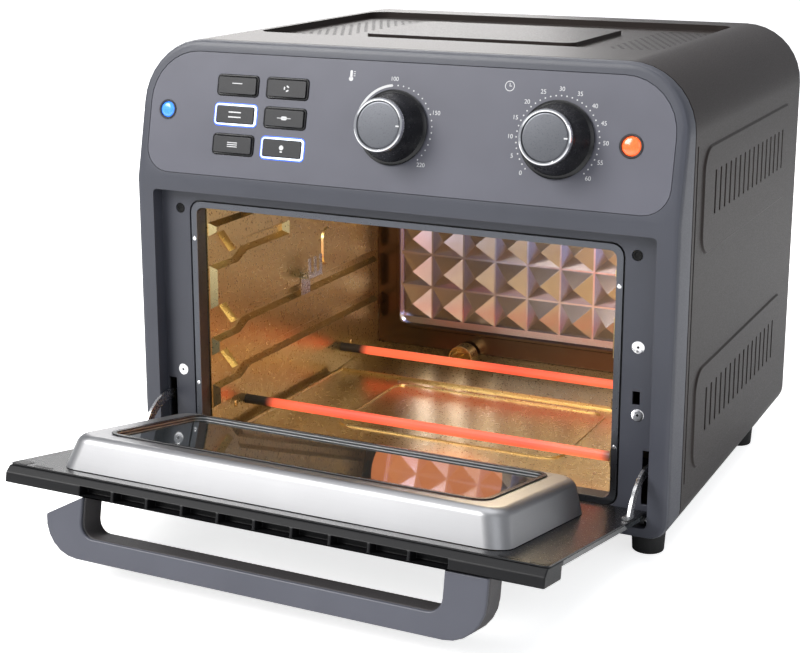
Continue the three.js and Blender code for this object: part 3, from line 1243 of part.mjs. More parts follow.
function doorTopBar() {
  const half = FLANGE_HALF_WIDTH;
  const profile = polygon([
    [-GLASS_BACK, BAR_BOTTOM], [-GLASS_BACK, BAR_TOP - BAR_CHAMFER], [-BAR_SLOT_LOW, BAR_TOP],
    [-BAR_FRONT, BAR_TOP], [-BAR_FRONT, BAR_BOTTOM]]);
  const bar = slab('yz', profile, -half, half);
  const pitch = (2 * BAR_SLOT_HALF_SPAN + BAR_SLOT_RIB) / BAR_SLOTS;
  const slots = [];
  for (let index = 0; index < BAR_SLOTS; index += 1) {
    const left = -BAR_SLOT_HALF_SPAN + index * pitch;
    slots.push(box(
      left, left + pitch - BAR_SLOT_RIB, -BAR_SLOT_HIGH, -BAR_SLOT_LOW,
      BAR_TOP - BAR_SLOT_DEPTH, BAR_TOP + OVERCUT));
  }
  return cut(bar, ...slots);
}

// U-shaped outline of the grip seen from the end, its legs rooted on the top bar
function gripShape() {
  const root = -BAR_FRONT - SEAT_GAP;
  const reach = -HANDLE_REACH;
  const outer = HANDLE_OUTER_RADIUS;
  const inner = HANDLE_INNER_RADIUS;
  const innerHalf = HANDLE_HALF_WIDTH - HANDLE_LEG;
  const innerReach = reach + HANDLE_GRIP;
  const shape = new THREE.Shape();
  shape.moveTo(-HANDLE_HALF_WIDTH, root);
  shape.absarc(-HANDLE_HALF_WIDTH + outer, reach + outer, outer, Math.PI, 1.5 * Math.PI);
  shape.absarc(HANDLE_HALF_WIDTH - outer, reach + outer, outer, 1.5 * Math.PI, 2 * Math.PI);
  shape.lineTo(HANDLE_HALF_WIDTH, root);
  shape.lineTo(innerHalf, root);
  shape.absarc(innerHalf - inner, innerReach + inner, inner, 0, -Math.PI / 2, true);
  shape.absarc(-innerHalf + inner, innerReach + inner, inner, -Math.PI / 2, -Math.PI, true);
  shape.lineTo(-innerHalf, root);
  return shape;
}

function handleBody() {
  return slab('xy', gripShape(), HANDLE_BOTTOM, HANDLE_TOP - HANDLE_COVER - SEAT_GAP, HANDLE_BEVEL);
}

function handleCover() {
  return slab('xy', gripShape(), HANDLE_TOP - HANDLE_COVER, HANDLE_TOP, HANDLE_BEVEL);
}

// Arc strap that guides the door through the slot beside the mouth
function hingeArm() {
  const shape = new THREE.Shape();
  shape.absarc(0, 0, ARM_OUTER_RADIUS, ARM_END_ANGLE, ARM_ROOT_ANGLE);
  shape.absarc(0, 0, ARM_INNER_RADIUS, ARM_ROOT_ANGLE, ARM_END_ANGLE, true);
  const strap = slab('yz', shape, ARM_X, ARM_X + ARM_SHEET);
  const right = ARM_X + ARM_SHEET;
  const { bottom, top, width, height } = ARM_FOOT;
  return union(strap, box(right - width, right, -PAN_BASE, -PAN_BASE + height, bottom, top));
}

function hingePin() {
  const end = RECESS_HALF_WIDTH + RECESS_WALL + PIN_TAIL;
  return rod('x', PIN_INNER, end, [HINGE_Y, HINGE_HEIGHT], PIN_RADIUS, SMALL_STEPS);
}

// Assembly
function knobGroup(prefix, shaftName, x) {
  const group = new THREE.Group();
  group.position.set(x, 0, KNOB_CENTRE_V);
  group.rotation.x = Math.PI / 2;
  group.add(
    piece(`${prefix}_knob`, knobBody(), FINISHES.black),
    piece(`${prefix}_knob_ring`, knobRing(), FINISHES.chrome),
    piece(`${prefix}_knob_cap`, knobCap(), FINISHES.cap),
    piece(shaftName, knobShaft(), FINISHES.steel));
  return group;
}

function controlGroup() {
  const group = new THREE.Group();
  group.position.z = CREASE_HEIGHT;
  group.rotation.x = -PANEL_TILT;
  group.add(
    piece('control_panel', controlPanel(), FINISHES.panel),
    piece('button_light_guide', lightGuide(), FINISHES.light),
    piece('switch_board', switchBoard(), FINISHES.board),
    piece('power_lamp', lamp(POWER_LAMP), FINISHES.blue),
    piece('heating_lamp', lamp(HEATING_LAMP), FINISHES.orange),
    piece('thermostat', dialUnit(TEMP_KNOB_X, THERMOSTAT), FINISHES.steel),
    piece('timer_unit', dialUnit(TIMER_KNOB_X, TIMER_UNIT), FINISHES.steel),
    knobGroup('temp', 'thermostat_shaft', TEMP_KNOB_X),
    knobGroup('timer', 'timer_shaft', TIMER_KNOB_X));
  buttonPlaces().forEach(([x, v], index) => {
    group.add(piece(`button_${index + 1}`, button(x, v), FINISHES.dark));
  });
  return group;
}

function cavityGroup() {
  const group = new THREE.Group();
  const wall = pressedWall();
  group.add(
    piece('cavity_left_wall', mirrored(wall), FINISHES.cavity),
    piece('cavity_right_wall', rightWall(), FINISHES.cavity),
    piece('cavity_back_wall', backWall(), FINISHES.cavity),
    piece('cavity_roof', cavityRoof(), FINISHES.cavity),
    piece('cavity_floor', cavityFloor(), FINISHES.cavity),
    piece('cavity_front_frame', cavityFrontFrame(), FINISHES.steel),
    piece('lower_front_heater', heater(HEATER_Y[0], HEATER_LOW), FINISHES.glow),
    piece('lower_rear_heater', heater(HEATER_Y[1], HEATER_LOW), FINISHES.glow),
    piece('upper_front_heater', heater(HEATER_Y[0], HEATER_HIGH), FINISHES.steel),
    piece('upper_rear_heater', heater(HEATER_Y[1], HEATER_HIGH), FINISHES.steel),
    piece('oven_lamp', ovenLamp(), FINISHES.light),
    piece('rotisserie_socket', rotisserieSocket(), FINISHES.steel),
    piece('rotisserie_motor', rotisserieMotor(), FINISHES.dark),
    piece('rotisserie_bracket', rotisserieBracket(), FINISHES.steel),
    piece('fan_guard', fanGuard(), FINISHES.cavity),
    piece('convection_fan', convectionFan(), FINISHES.steel),
    piece('fan_motor', fanMotor(), FINISHES.dark),
    piece('crumb_tray', crumbTray(), FINISHES.cavity));
  return group;
}

function doorGroup() {
  const group = new THREE.Group();
  group.position.set(0, HINGE_Y, HINGE_HEIGHT);
  group.rotation.x = DOOR_OPEN;
  group.add(
    piece('door_flange', doorFlange(), FINISHES.bezel),
    piece('door_pan', doorPan(), FINISHES.steel),
    piece('door_inner_glass', doorInnerGlass(), FINISHES.glass),
    piece('door_window_frame', doorWindowFrame(), FINISHES.black),
    piece('door_outer_glass', doorOuterGlass(), FINISHES.glass),
    piece('door_top_bar', doorTopBar(), FINISHES.dark),
    piece('door_handle_body', handleBody(), FINISHES.grip),
    piece('door_handle_cover', handleCover(), FINISHES.bezel),
    piece('hinge_arm_left', mirrored(hingeArm()), FINISHES.black),
    piece('hinge_arm_right', hingeArm(), FINISHES.black));
  return group;
}

function housingGroup() {
  const group = new THREE.Group();
  group.add(
    piece('outer_shell', outerShell(), FINISHES.shell),
    piece('rear_cover', rearCover(), FINISHES.shell),
    piece('base_plate', basePlate(), FINISHES.dark),
    piece('front_bezel', frontBezel(), FINISHES.bezel),
    piece('cord_gland', cordGland(), FINISHES.black),
    piece('hinge_pin_left', mirrored(hingePin()), FINISHES.steel),
    piece('hinge_pin_right', hingePin(), FINISHES.steel),
    piece('foot_front_left', foot(-1, FOOT_FRONT_Y), FINISHES.black),
    piece('foot_front_right', foot(1, FOOT_FRONT_Y), FINISHES.black),
    piece('foot_rear_left', foot(-1, FOOT_REAR_Y), FINISHES.black),
    piece('foot_rear_right', foot(1, FOOT_REAR_Y), FINISHES.black));
  return group;
}

// Stands the oven on Z 0 with its box centred on X and Y
function centred(parts) {
  const oven = new THREE.Group();
  oven.add(...parts);
  oven.updateMatrixWorld(true);
  const bounds = new THREE.Box3().setFromObject(oven, true);
  const middle = bounds.getCenter(new THREE.Vector3());
  oven.position.set(-middle.x, -middle.y, -bounds.min.z);
  return oven;
}

const oven = centred([housingGroup(), controlGroup(), cavityGroup(), doorGroup()]);

export default oven;
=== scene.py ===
"""Looks of the air fryer oven: every CAD node is refined or replaced, then dressed with its small parts."""

from __future__ import annotations

import logging
import math
from dataclasses import dataclass
from enum import Enum

import bmesh
import bpy
from mathutils import Matrix, Vector


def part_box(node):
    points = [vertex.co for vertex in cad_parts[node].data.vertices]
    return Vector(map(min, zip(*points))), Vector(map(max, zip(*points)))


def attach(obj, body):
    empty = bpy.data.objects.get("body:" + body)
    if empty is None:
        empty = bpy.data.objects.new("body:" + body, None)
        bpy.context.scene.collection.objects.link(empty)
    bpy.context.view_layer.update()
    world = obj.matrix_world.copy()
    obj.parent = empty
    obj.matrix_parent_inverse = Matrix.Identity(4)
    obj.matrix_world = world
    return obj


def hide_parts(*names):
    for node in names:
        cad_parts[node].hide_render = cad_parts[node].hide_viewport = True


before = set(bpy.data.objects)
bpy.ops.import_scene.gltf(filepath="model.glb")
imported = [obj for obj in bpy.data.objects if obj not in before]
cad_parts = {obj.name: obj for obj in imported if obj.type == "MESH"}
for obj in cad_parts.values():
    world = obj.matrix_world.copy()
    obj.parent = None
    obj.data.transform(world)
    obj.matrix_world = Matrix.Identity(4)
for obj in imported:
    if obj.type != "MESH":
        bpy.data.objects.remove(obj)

logging.basicConfig(level=logging.INFO, format="%(levelname)s %(message)s")
log = logging.getLogger("oven")

Triple = tuple[float, float, float]
Outline = list[tuple[float, float]]
Bar = tuple[float, float, float, float]

MM = 0.001
FRONT_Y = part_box("front_bezel")[0].y
PANEL_TILT = math.radians(12.36)
CREASE_HEIGHT = 223.5
DOOR_OPEN = math.radians(79.26)
HINGE_DEPTH = 5.3
HINGE_HEIGHT = 28.5
HINGE = Vector((0, FRONT_Y + HINGE_DEPTH * MM, HINGE_HEIGHT * MM))
DIAL_TEMP_X = 0.0
DIAL_TIMER_X = 115.5
DIAL_V = 48.5


def place(x: float, y: float, z: float) -> Vector:
    """Gives a point from millimetres across, behind the bezel's front plane and above the floor."""
    return Vector((x * MM, FRONT_Y + y * MM, z * MM))


def slope_matrix(x: float, v: float, out: float = 0.0) -> Matrix:
    """Gives the frame of a place on the control slope.

    Args:
        x: Millimetres across from the middle.
        v: Millimetres up the slope from the crease.
        out: Millimetres out of the panel's face.

    Returns:
        A matrix whose X runs across, Y up the slope and Z out of the face.
    """
    up = Vector((0, math.sin(PANEL_TILT), math.cos(PANEL_TILT)))
    outward = Vector((0, -math.cos(PANEL_TILT), math.sin(PANEL_TILT)))
    origin = Vector((x * MM, FRONT_Y, CREASE_HEIGHT * MM)) + up * v * MM + outward * out * MM
    return frame_matrix(origin, Vector((1, 0, 0)), up, outward)


def door_matrix(x: float, v: float, n: float) -> Matrix:
    """Gives the frame of a place on the open door.

    Args:
        x: Millimetres across from the middle.
        v: Millimetres from the hinge towards the grip.
        n: Millimetres out of the door's outer face.

    Returns:
        A matrix whose X runs across, Y from hinge to grip and Z to the oven's side of the door.
    """
    along = Vector((0, -math.sin(DOOR_OPEN), math.cos(DOOR_OPEN)))
    inward = Vector((0, math.cos(DOOR_OPEN), math.sin(DOOR_OPEN)))
    origin = HINGE + Vector((x * MM, 0, 0)) + along * v * MM - inward * n * MM
    return frame_matrix(origin, Vector((1, 0, 0)), along, inward)


def upright_matrix(x: float, y: float, z: float) -> Matrix:
    """Gives the frame of a place on a face that looks to the front: X across, Y up, Z to the front."""
    return frame_matrix(place(x, y, z), Vector((1, 0, 0)), Vector((0, 0, 1)), Vector((0, -1, 0)))


def frame_matrix(origin: Vector, x_axis: Vector, y_axis: Vector, z_axis: Vector) -> Matrix:
    """Gives the matrix with these axes as its columns, standing at the origin point."""
    matrix = Matrix((x_axis, y_axis, z_axis)).transposed().to_4x4()
    matrix.translation = origin
    return matrix


class Body(Enum):
    """CAD bodies that pieces ride on."""

    OVEN = "oven"
    DOOR = "door"
    TEMP = "temp_dial"
    TIMER = "timer_dial"
    TRAY = "tray"
    FAN = "fan"
    SPIT = "spit_drive"


@dataclass(frozen=True)
class Finish:
    """Surface values of one material, built on a Principled shader.

    Attributes:
        name: Material name.
        color: Base colour, linear.
        slot: The record's material slot; not used.
        metallic: Metalness.
        roughness: Mean roughness.
        mottle: How far the colour wanders, as a share.
        grain: Size of the surface grain in millimetres.
        bump: Height of the grain in millimetres, or zero for a sheet that is bright and smooth.
        rough_spread: How far the roughness wanders.
        stretch: Grain scale along X, Y and Z, for brushed metal.
        coat: Clear coat weight.
        specular: Level of the plain reflection.
    """

    name: str
    color: Triple
    slot: str
    metallic: float = 0.0
    roughness: float = 0.5
    mottle: float = 0.06
    grain: float = 1.2
    bump: float = 0.02
    rough_spread: float = 0.08
    stretch: Triple = (1.0, 1.0, 1.0)
    coat: float = 0.0
    specular: float = 0.5


NOISE_LOW = 0.3
NOISE_HIGH = 0.7
BROAD_GRAIN = 45.0
COAT_ROUGHNESS = 0.12
LEAST_ROUGHNESS = 0.02


class Nodes:
    """Small writer for one material's node tree."""

    def __init__(self, name: str) -> None:
        """Makes the material with its Principled shader.

        Args:
            name: Material name.
        """
        self.material = bpy.data.materials.new(name)
        self.material.use_nodes = True
        self.tree = self.material.node_tree
        self.shader = self.tree.nodes["Principled BSDF"]

    def add(self, kind: str, **values: object) -> bpy.types.Node:
        """Adds a node and sets its attributes.

        Args:
            kind: Blender's node type.
            **values: Attributes of the node.

        Returns:
            The new node.
        """
        node = self.tree.nodes.new(kind)
        for key, value in values.items():
            setattr(node, key, value)
        return node

    def link(self, output: bpy.types.NodeSocket, target: bpy.types.NodeSocket) -> None:
        """Links an output to an input."""
        self.tree.links.new(output, target)

    def object_coordinates(self, scale: Triple = (1.0, 1.0, 1.0)) -> bpy.types.NodeSocket:
        """Gives object coordinates in millimetres, scaled along each axis."""
        source = self.add("ShaderNodeTexCoord")
        mapping = self.add("ShaderNodeMapping")
        mapping.inputs["Scale"].default_value = [value / MM for value in scale]
        self.link(source.outputs["Object"], mapping.inputs["Vector"])
        return mapping.outputs["Vector"]

    def noise(self, vector: bpy.types.NodeSocket, size: float, detail: float = 3.0) -> bpy.types.NodeSocket:
        """Gives noise whose features are about this many millimetres wide."""
        node = self.add("ShaderNodeTexNoise")
        node.inputs["Scale"].default_value = 1.0 / size
        node.inputs["Detail"].default_value = detail
        self.link(vector, node.inputs["Vector"])
        return node.outputs["Fac"]

    def ramp(self, value: bpy.types.NodeSocket, low: Triple, high: Triple, start: float = NOISE_LOW,
             end: float = NOISE_HIGH) -> bpy.types.NodeSocket:
        """Gives a colour between two colours as the value runs from start to end."""
        node = self.add("ShaderNodeValToRGB")
        node.color_ramp.elements[0].position = start
        node.color_ramp.elements[1].position = end
        node.color_ramp.elements[0].color = (*low, 1.0)
        node.color_ramp.elements[1].color = (*high, 1.0)
        self.link(value, node.inputs["Fac"])
        return node.outputs["Color"]

    def span(self, value: bpy.types.NodeSocket, low: float, high: float) -> bpy.types.NodeSocket:
        """Maps noise from its middle band to a range."""
        node = self.add("ShaderNodeMapRange")
        node.inputs["From Min"].default_value = NOISE_LOW
        node.inputs["From Max"].default_value = NOISE_HIGH
        node.inputs["To Min"].default_value = low
        node.inputs["To Max"].default_value = high
        self.link(value, node.inputs["Value"])
        return node.outputs["Result"]

    def bump(self, height: bpy.types.NodeSocket, depth: float) -> None:
        """Drives the shader's normal from a height, with a depth in millimetres."""
        node = self.add("ShaderNodeBump")
        node.inputs["Strength"].default_value = 1.0
        node.inputs["Distance"].default_value = depth * MM
        self.link(height, node.inputs["Height"])
        self.link(node.outputs["Normal"], self.shader.inputs["Normal"])

    def maths(self, operation: str, first: object, second: object = 0.0) -> bpy.types.NodeSocket:
        """Gives the result of a maths node on sockets or numbers."""
        node = self.add("ShaderNodeMath", operation=operation)
        for index, value in enumerate((first, second)):
            if isinstance(value, bpy.types.NodeSocket):
                self.link(value, node.inputs[index])
            else:
                node.inputs[index].default_value = value
        return node.outputs[0]

    def axes(self, vector: bpy.types.NodeSocket) -> bpy.types.NodeSocketVector:
        """Splits a vector into its X, Y and Z sockets."""
        node = self.add("ShaderNodeSeparateXYZ")
        self.link(vector, node.inputs[0])
        return node.outputs


def scaled(color: Triple, share: float) -> Triple:
    """Gives a colour made darker or lighter by a share."""
    return tuple(min(channel * share, 1.0) for channel in color)


def surface(finish: Finish) -> Nodes:
    """Builds the common surface: wandering colour and roughness, and a fine grain.

    Args:
        finish: The values.

    Returns:
        The node writer, so that a finish can add to it.
    """
    nodes = Nodes(finish.name)
    shader = nodes.shader
    shader.inputs["Metallic"].default_value = finish.metallic
    shader.inputs["Coat Weight"].default_value = finish.coat
    shader.inputs["Coat Roughness"].default_value = COAT_ROUGHNESS
    shader.inputs["Specular IOR Level"].default_value = finish.specular
    plain = nodes.object_coordinates()
    grained = nodes.object_coordinates(finish.stretch)
    broad = nodes.noise(plain, BROAD_GRAIN, 2.0)
    fine = nodes.noise(grained, finish.grain, 4.0)
    low = scaled(finish.color, 1.0 - finish.mottle)
    high = scaled(finish.color, 1.0 + finish.mottle)
    nodes.link(nodes.ramp(broad, low, high), shader.inputs["Base Color"])
    rough_low = max(finish.roughness - finish.rough_spread, LEAST_ROUGHNESS)
    rough = nodes.span(fine, rough_low, finish.roughness + finish.rough_spread)
    nodes.link(rough, shader.inputs["Roughness"])
    if finish.bump:
        nodes.bump(fine, finish.bump)
    return nodes


FINISHES = {
    "bezel": Finish(
        "bezel_plastic", (0.054, 0.057, 0.073), "bezel_plastic", roughness=0.42, grain=0.7, bump=0.012),
    "panel": Finish(
        "panel_plastic", (0.100, 0.101, 0.125), "panel_plastic", roughness=0.40, grain=0.7, bump=0.012),
    "shell": Finish(
        "shell_paint", (0.024, 0.018, 0.016), "shell_paint", metallic=0.05, roughness=0.42,
        specular=0.22, grain=0.6, bump=0.012),
    "dark": Finish("dark_plastic", (0.018, 0.018, 0.020), "dark_plastic", roughness=0.38, grain=0.8),
    "gloss": Finish(
        "black_gloss", (0.004, 0.004, 0.005), "black_gloss", roughness=0.26, grain=1.5, bump=0.0006,
        rough_spread=0.02, specular=0.45),
    "bar": Finish(
        "black_bar", (0.006, 0.006, 0.007), "black_gloss", roughness=0.42, grain=0.8, bump=0.006,
        specular=0.25),
    "key": Finish(
        "button_key", (0.020, 0.020, 0.022), "panel_plastic", roughness=0.40, grain=0.7, bump=0.008),
    "cover": Finish(
        "grip_cover", (0.078, 0.081, 0.102), "bezel_plastic", roughness=0.40, grain=0.7, bump=0.01),
    "pan": Finish(
        "brushed_pan", (0.34, 0.34, 0.35), "bright_steel", metallic=1.0, roughness=0.42, grain=0.8,
        bump=0.002, stretch=(0.02, 1.0, 1.0), mottle=0.03, rough_spread=0.04),
    "steel": Finish(
        "bright_steel", (0.56, 0.56, 0.57), "bright_steel", metallic=1.0, roughness=0.27, grain=1.2,
        bump=0.004),
    "cavity": Finish(
        "cavity_sheet", (0.58, 0.46, 0.23), "cavity_sheet", metallic=0.95, roughness=0.29, grain=2.0,
        bump=0.0, mottle=0.03, rough_spread=0.03),
    "studs": Finish(
        "stud_sheet", (0.58, 0.60, 0.80), "cavity_sheet", metallic=0.95, roughness=0.24, grain=2.0,
        bump=0.0, mottle=0.02, rough_spread=0.02),
    "sheath": Finish("plain_sheath", (0.06, 0.06, 0.06), "plain_sheath", metallic=0.6, roughness=0.5),
    "chrome": Finish(
        "trim_chrome", (0.86, 0.86, 0.88), "trim_chrome", metallic=1.0, roughness=0.09,
        rough_spread=0.03, bump=0.002),
    "cap": Finish(
        "cap_metal", (0.13, 0.135, 0.150), "cap_metal", metallic=0.7, roughness=0.33, grain=0.5,
        bump=0.004),
    "board": Finish("circuit_board", (0.02, 0.10, 0.05), "circuit_board", roughness=0.45),
    "rubber": Finish(
        "foot_rubber", (0.012, 0.012, 0.012), "foot_rubber", roughness=0.7, grain=0.8, bump=0.04),
    "motor": Finish("motor_metal", (0.045, 0.045, 0.05), "motor_metal", metallic=0.6, roughness=0.45),
    "grip": Finish(
        "grip_plastic", (0.072, 0.067, 0.069), "grip_plastic", roughness=0.42, grain=0.7, bump=0.012),
    "brass": Finish("brass_screw", (0.62, 0.46, 0.22), "bright_steel", metallic=1.0, roughness=0.3),
}


@dataclass(frozen=True)
class PaletteSize:
    """Places in millimetres where a finish changes, and strengths of what glows.

    Attributes:
        field_half: Half the stud field's width.
        field_low: Height over the floor where the stud field begins.
        jamb: Depth behind the bezel's front plane where the mouth's frame turns black.
        heater_cold: Distance from the middle where a heater is black.
        heater_hot: Distance from the middle within which it glows in full.
        heater_glow: Emission strength of the heaters.
        lamp_glow: Emission strength of the oven lamp.
        rim_glow: Emission strength of the lit rims.
        halo_glow: Emission strength of the light beside them.
        blue_glow: Emission strength of the power lamp.
        orange_glow: Emission strength of the heating lamp.
        lens_facet: Width of a facet in the lamps' lenses.
    """

    field_half: float = 133.5
    field_low: float = 50.0
    jamb: float = 11.6
    heater_cold: float = 139.0
    heater_hot: float = 128.0
    heater_glow: float = 1.15
    lamp_glow: float = 2.0
    rim_glow: float = 1.25
    halo_glow: float = 0.9
    blue_glow: float = 1.8
    orange_glow: float = 1.7
    lens_facet: float = 1.25


class Palette:
    """Materials of the scene, each made once."""

    def __init__(self, size: PaletteSize = PaletteSize()) -> None:
        """Starts with no material."""
        self.size = size
        self.made: dict[str, bpy.types.Material] = {}

    def get(self, key: str) -> bpy.types.Material:
        """Gives the material of a key, making it on first use."""
        if key not in self.made:
            makers = {
                "heater": self.heater, "glass": self.glass, "lens": self.lamp_glass, "lit": self.lit_rim,
                "blue": lambda: self.lens("blue_lens", (0.05, 0.24, 1.0), self.size.blue_glow),
                "orange": lambda: self.lens("orange_lens", (1.0, 0.13, 0.03), self.size.orange_glow),
                "studs": self.stud_sheet, "print": self.print_ink, "plug_black_and_hole_shade": self.plug_black_and_hole_shade,
                "frame": self.front_frame, "halo": self.halo,
            }
            maker = makers.get(key)
            self.made[key] = maker() if maker else surface(FINISHES[key]).material
        return self.made[key]

    def stud_sheet(self) -> bpy.types.Material:
        """Back wall: pale mauve in the stud field, and round it the gold sheet darkened by painted shade.
        """
        finish = FINISHES["studs"]
        nodes = surface(finish)
        axes = nodes.axes(nodes.object_coordinates())
        across = nodes.maths("LESS_THAN", nodes.maths("ABSOLUTE", axes[0]), self.size.field_half)
        above = nodes.maths("GREATER_THAN", axes[2], self.size.field_low)
        inside = nodes.maths("MULTIPLY", across, above)
        mix = nodes.add("ShaderNodeMix", data_type="RGBA")
        wander = nodes.noise(nodes.object_coordinates(), BROAD_GRAIN, 2.0)
        nodes.link(inside, mix.inputs["Factor"])
        # Painted shade: the border round the stud field is the gold sheet made much darker.
        nodes.link(nodes.ramp(wander, (0.100, 0.074, 0.056), (0.120, 0.088, 0.066)), mix.inputs["A"])
        low, high = scaled(finish.color, 1 - finish.mottle), scaled(finish.color, 1 + finish.mottle)
        nodes.link(nodes.ramp(wander, low, high), mix.inputs["B"])
        nodes.link(mix.outputs["Result"], nodes.shader.inputs["Base Color"])
        return nodes.material

    def front_frame(self) -> bpy.types.Material:
        """Bright face round the mouth, with the jamb behind it painted black."""
        face = Finish("front_frame", (0.115, 0.12, 0.135), "bright_steel", metallic=0.7, roughness=0.34,
                      bump=0.003)
        nodes = surface(face)
        depth = nodes.axes(nodes.object_coordinates())[1]
        jamb = nodes.maths("GREATER_THAN", depth, FRONT_Y / MM + self.size.jamb)
        mix = nodes.add("ShaderNodeMix", data_type="RGBA")
        nodes.link(jamb, mix.inputs["Factor"])
        mix.inputs["A"].default_value = (*face.color, 1.0)
        mix.inputs["B"].default_value = (0.012, 0.012, 0.013, 1.0)
        nodes.link(mix.outputs["Result"], nodes.shader.inputs["Base Color"])
        nodes.link(nodes.maths("SUBTRACT", 1.0, jamb), nodes.shader.inputs["Metallic"])
        return nodes.material

    def heater(self) -> bpy.types.Material:
        """Glowing sheath whose ends stay cold and black."""
        nodes = surface(Finish("heater_sheath", (0.03, 0.028, 0.028), "heater_sheath", roughness=0.55))
        across = nodes.maths("ABSOLUTE", nodes.axes(nodes.object_coordinates())[0])
        hot = nodes.add("ShaderNodeMapRange", interpolation_type="SMOOTHSTEP")
        hot.inputs["From Min"].default_value = self.size.heater_cold
        hot.inputs["From Max"].default_value = self.size.heater_hot
        nodes.link(across, hot.inputs["Value"])
        wander = nodes.noise(nodes.object_coordinates(), 60.0, 1.0)
        glow = nodes.ramp(wander, (1.0, 0.085, 0.035), (1.0, 0.16, 0.06))
        nodes.link(glow, nodes.shader.inputs["Emission Color"])
        strength = nodes.maths("MULTIPLY", hot.outputs["Result"], self.size.heater_glow)
        nodes.link(strength, nodes.shader.inputs["Emission Strength"])
        return nodes.material

    def glass(self) -> bpy.types.Material:
        """Dark tinted window glass that mirrors softly."""
        nodes = Nodes("window_glass")
        nodes.shader.inputs["Base Color"].default_value = (0.13, 0.15, 0.15, 1.0)
        nodes.shader.inputs["IOR"].default_value = 1.5
        nodes.shader.inputs["Transmission Weight"].default_value = 0.86
        nodes.shader.inputs["Coat Weight"].default_value = 0.25
        nodes.shader.inputs["Coat Roughness"].default_value = 0.02
        smear = nodes.noise(nodes.object_coordinates(), 30.0, 2.0)
        nodes.link(nodes.span(smear, 0.02, 0.05), nodes.shader.inputs["Roughness"])
        return nodes.material

    def lamp_glass(self) -> bpy.types.Material:
        """Frosted glass of the oven lamp, lit from inside."""
        nodes = surface(Finish("lamp_glass", (0.9, 0.85, 0.7), "window_glass", roughness=0.3))
        nodes.shader.inputs["Emission Color"].default_value = (1.0, 0.78, 0.45, 1.0)
        nodes.shader.inputs["Emission Strength"].default_value = self.size.lamp_glow
        return nodes.material

    def lens(self, name: str, color: tuple[float, float, float], strength: float) -> bpy.types.Material:
        """Small coloured lens lit from behind.

        Args:
            name: Material name.
            color: Colour of the light.
            strength: Emission strength.

        Returns:
            The material.
        """
        nodes = surface(Finish(name, scaled(color, 0.6), name, roughness=0.18, coat=0.8, bump=0.004))
        facets = nodes.add("ShaderNodeTexVoronoi")
        facets.inputs["Scale"].default_value = 1 / self.size.lens_facet
        nodes.link(nodes.object_coordinates(), facets.inputs["Vector"])
        glow = nodes.maths("MULTIPLY_ADD", facets.outputs["Distance"], -0.5 * strength)
        glow.node.inputs[2].default_value = strength
        nodes.shader.inputs["Emission Color"].default_value = (*color, 1.0)
        nodes.link(glow, nodes.shader.inputs["Emission Strength"])
        return nodes.material

    def lit_rim(self) -> bpy.types.Material:
        """Rim of a lit button: white, turning blue at its left end."""
        nodes = surface(Finish("lit_rim_glow", (0.7, 0.8, 1.0), "lit_rim", roughness=0.3))
        source = nodes.add("ShaderNodeAttribute", attribute_name="rim_share")
        glow = nodes.ramp(source.outputs["Fac"], (0.03, 0.12, 1.0), (0.9, 0.93, 1.0), 0.0, 0.45)
        nodes.link(glow, nodes.shader.inputs["Emission Color"])
        nodes.shader.inputs["Emission Strength"].default_value = self.size.rim_glow
        return nodes.material

    def halo(self) -> bpy.types.Material:
        """Blue light that spills from a lit rim onto the panel."""
        nodes = surface(Finish("rim_halo", (0.02, 0.06, 0.5), "lit_rim", roughness=0.4))
        wander = nodes.noise(nodes.object_coordinates(), 6.0, 1.0)
        glow = nodes.ramp(wander, (0.01, 0.10, 1.0), (0.10, 0.30, 1.0))
        nodes.link(glow, nodes.shader.inputs["Emission Color"])
        nodes.shader.inputs["Emission Strength"].default_value = self.size.halo_glow
        return nodes.material

    def print_ink(self) -> bpy.types.Material:
        """Pale grey print on the panel."""
        ink = Finish("print_ink", (0.62, 0.62, 0.63), "panel_plastic", roughness=0.5, bump=0.003)
        return surface(ink).material

    def plug_black_and_hole_shade(self) -> bpy.types.Material:
        """Flat black: painted shade in the top's holes and in the screws' slots, and the real black of the
        catch plugs.
        """
        return surface(Finish("hole_shade_and_plug_black", (0.004, 0.004, 0.004), "dark_plastic", roughness=0.9)).material


palette = Palette()


@dataclass(frozen=True)
class Edge:
    """How a refined piece's edges are rounded."""

    width: float = 0.35
    segments: int = 2
    angle: float = 28.0


GRIP_EDGE = Edge(1.0, 3)
SOFT = Edge(0.8, 3)
MOULDED = Edge(0.6, 3)
SHEET_EDGE = Edge(0.5, 2)
TRAY_EDGE = Edge(0.4, 2)
PANEL_EDGE = Edge(0.3, 2)
FINE = Edge(0.25, 2)
SHARP_ANGLE = math.radians(32)
FLAT_ANGLE = math.radians(0.4)
FLAT_WEIGHT = 80
WELD = 0.004 * MM
SLIVER = 0.002 * MM
BEVEL_SPREAD = 0.0001
LEAST_AREA_SHARE = 0.9
MOST_AREA_SHARE = 1.03


def publish(name: str, mesh: bpy.types.Mesh, keys: tuple[str, ...], body: str,
            replaces: tuple[str, ...] = ()) -> bpy.types.Object:
    """Puts a mesh into the scene as a named piece.

    Args:
        name: Object name.
        mesh: Mesh in the row frame.
        keys: Palette keys, in the order of the mesh's material indices.
        body: CAD body that the piece rides on.
        replaces: CAD nodes that it stands for.

    Returns:
        The new object.
    """
    piece = bpy.data.objects.new(name, mesh)
    bpy.context.scene.collection.objects.link(piece)
    mesh.materials.clear()
    for key in keys:
        mesh.materials.append(palette.get(key))
    mesh.shade_smooth()
    mesh.set_sharp_from_angle(angle=SHARP_ANGLE)
    weighting = piece.modifiers.new("flat_normals", "WEIGHTED_NORMAL")
    weighting.keep_sharp = True
    weighting.weight = FLAT_WEIGHT
    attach(piece, body)
    if replaces:
        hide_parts(*replaces)
    log.info("piece %s on %s, %d faces", name, body, len(mesh.polygons))
    return piece


PIERCED = {
    "outer_shell", "base_plate", "button_light_guide", "cavity_back_wall", "cavity_left_wall",
    "cavity_right_wall", "control_panel", "front_bezel", "door_window_frame",
}


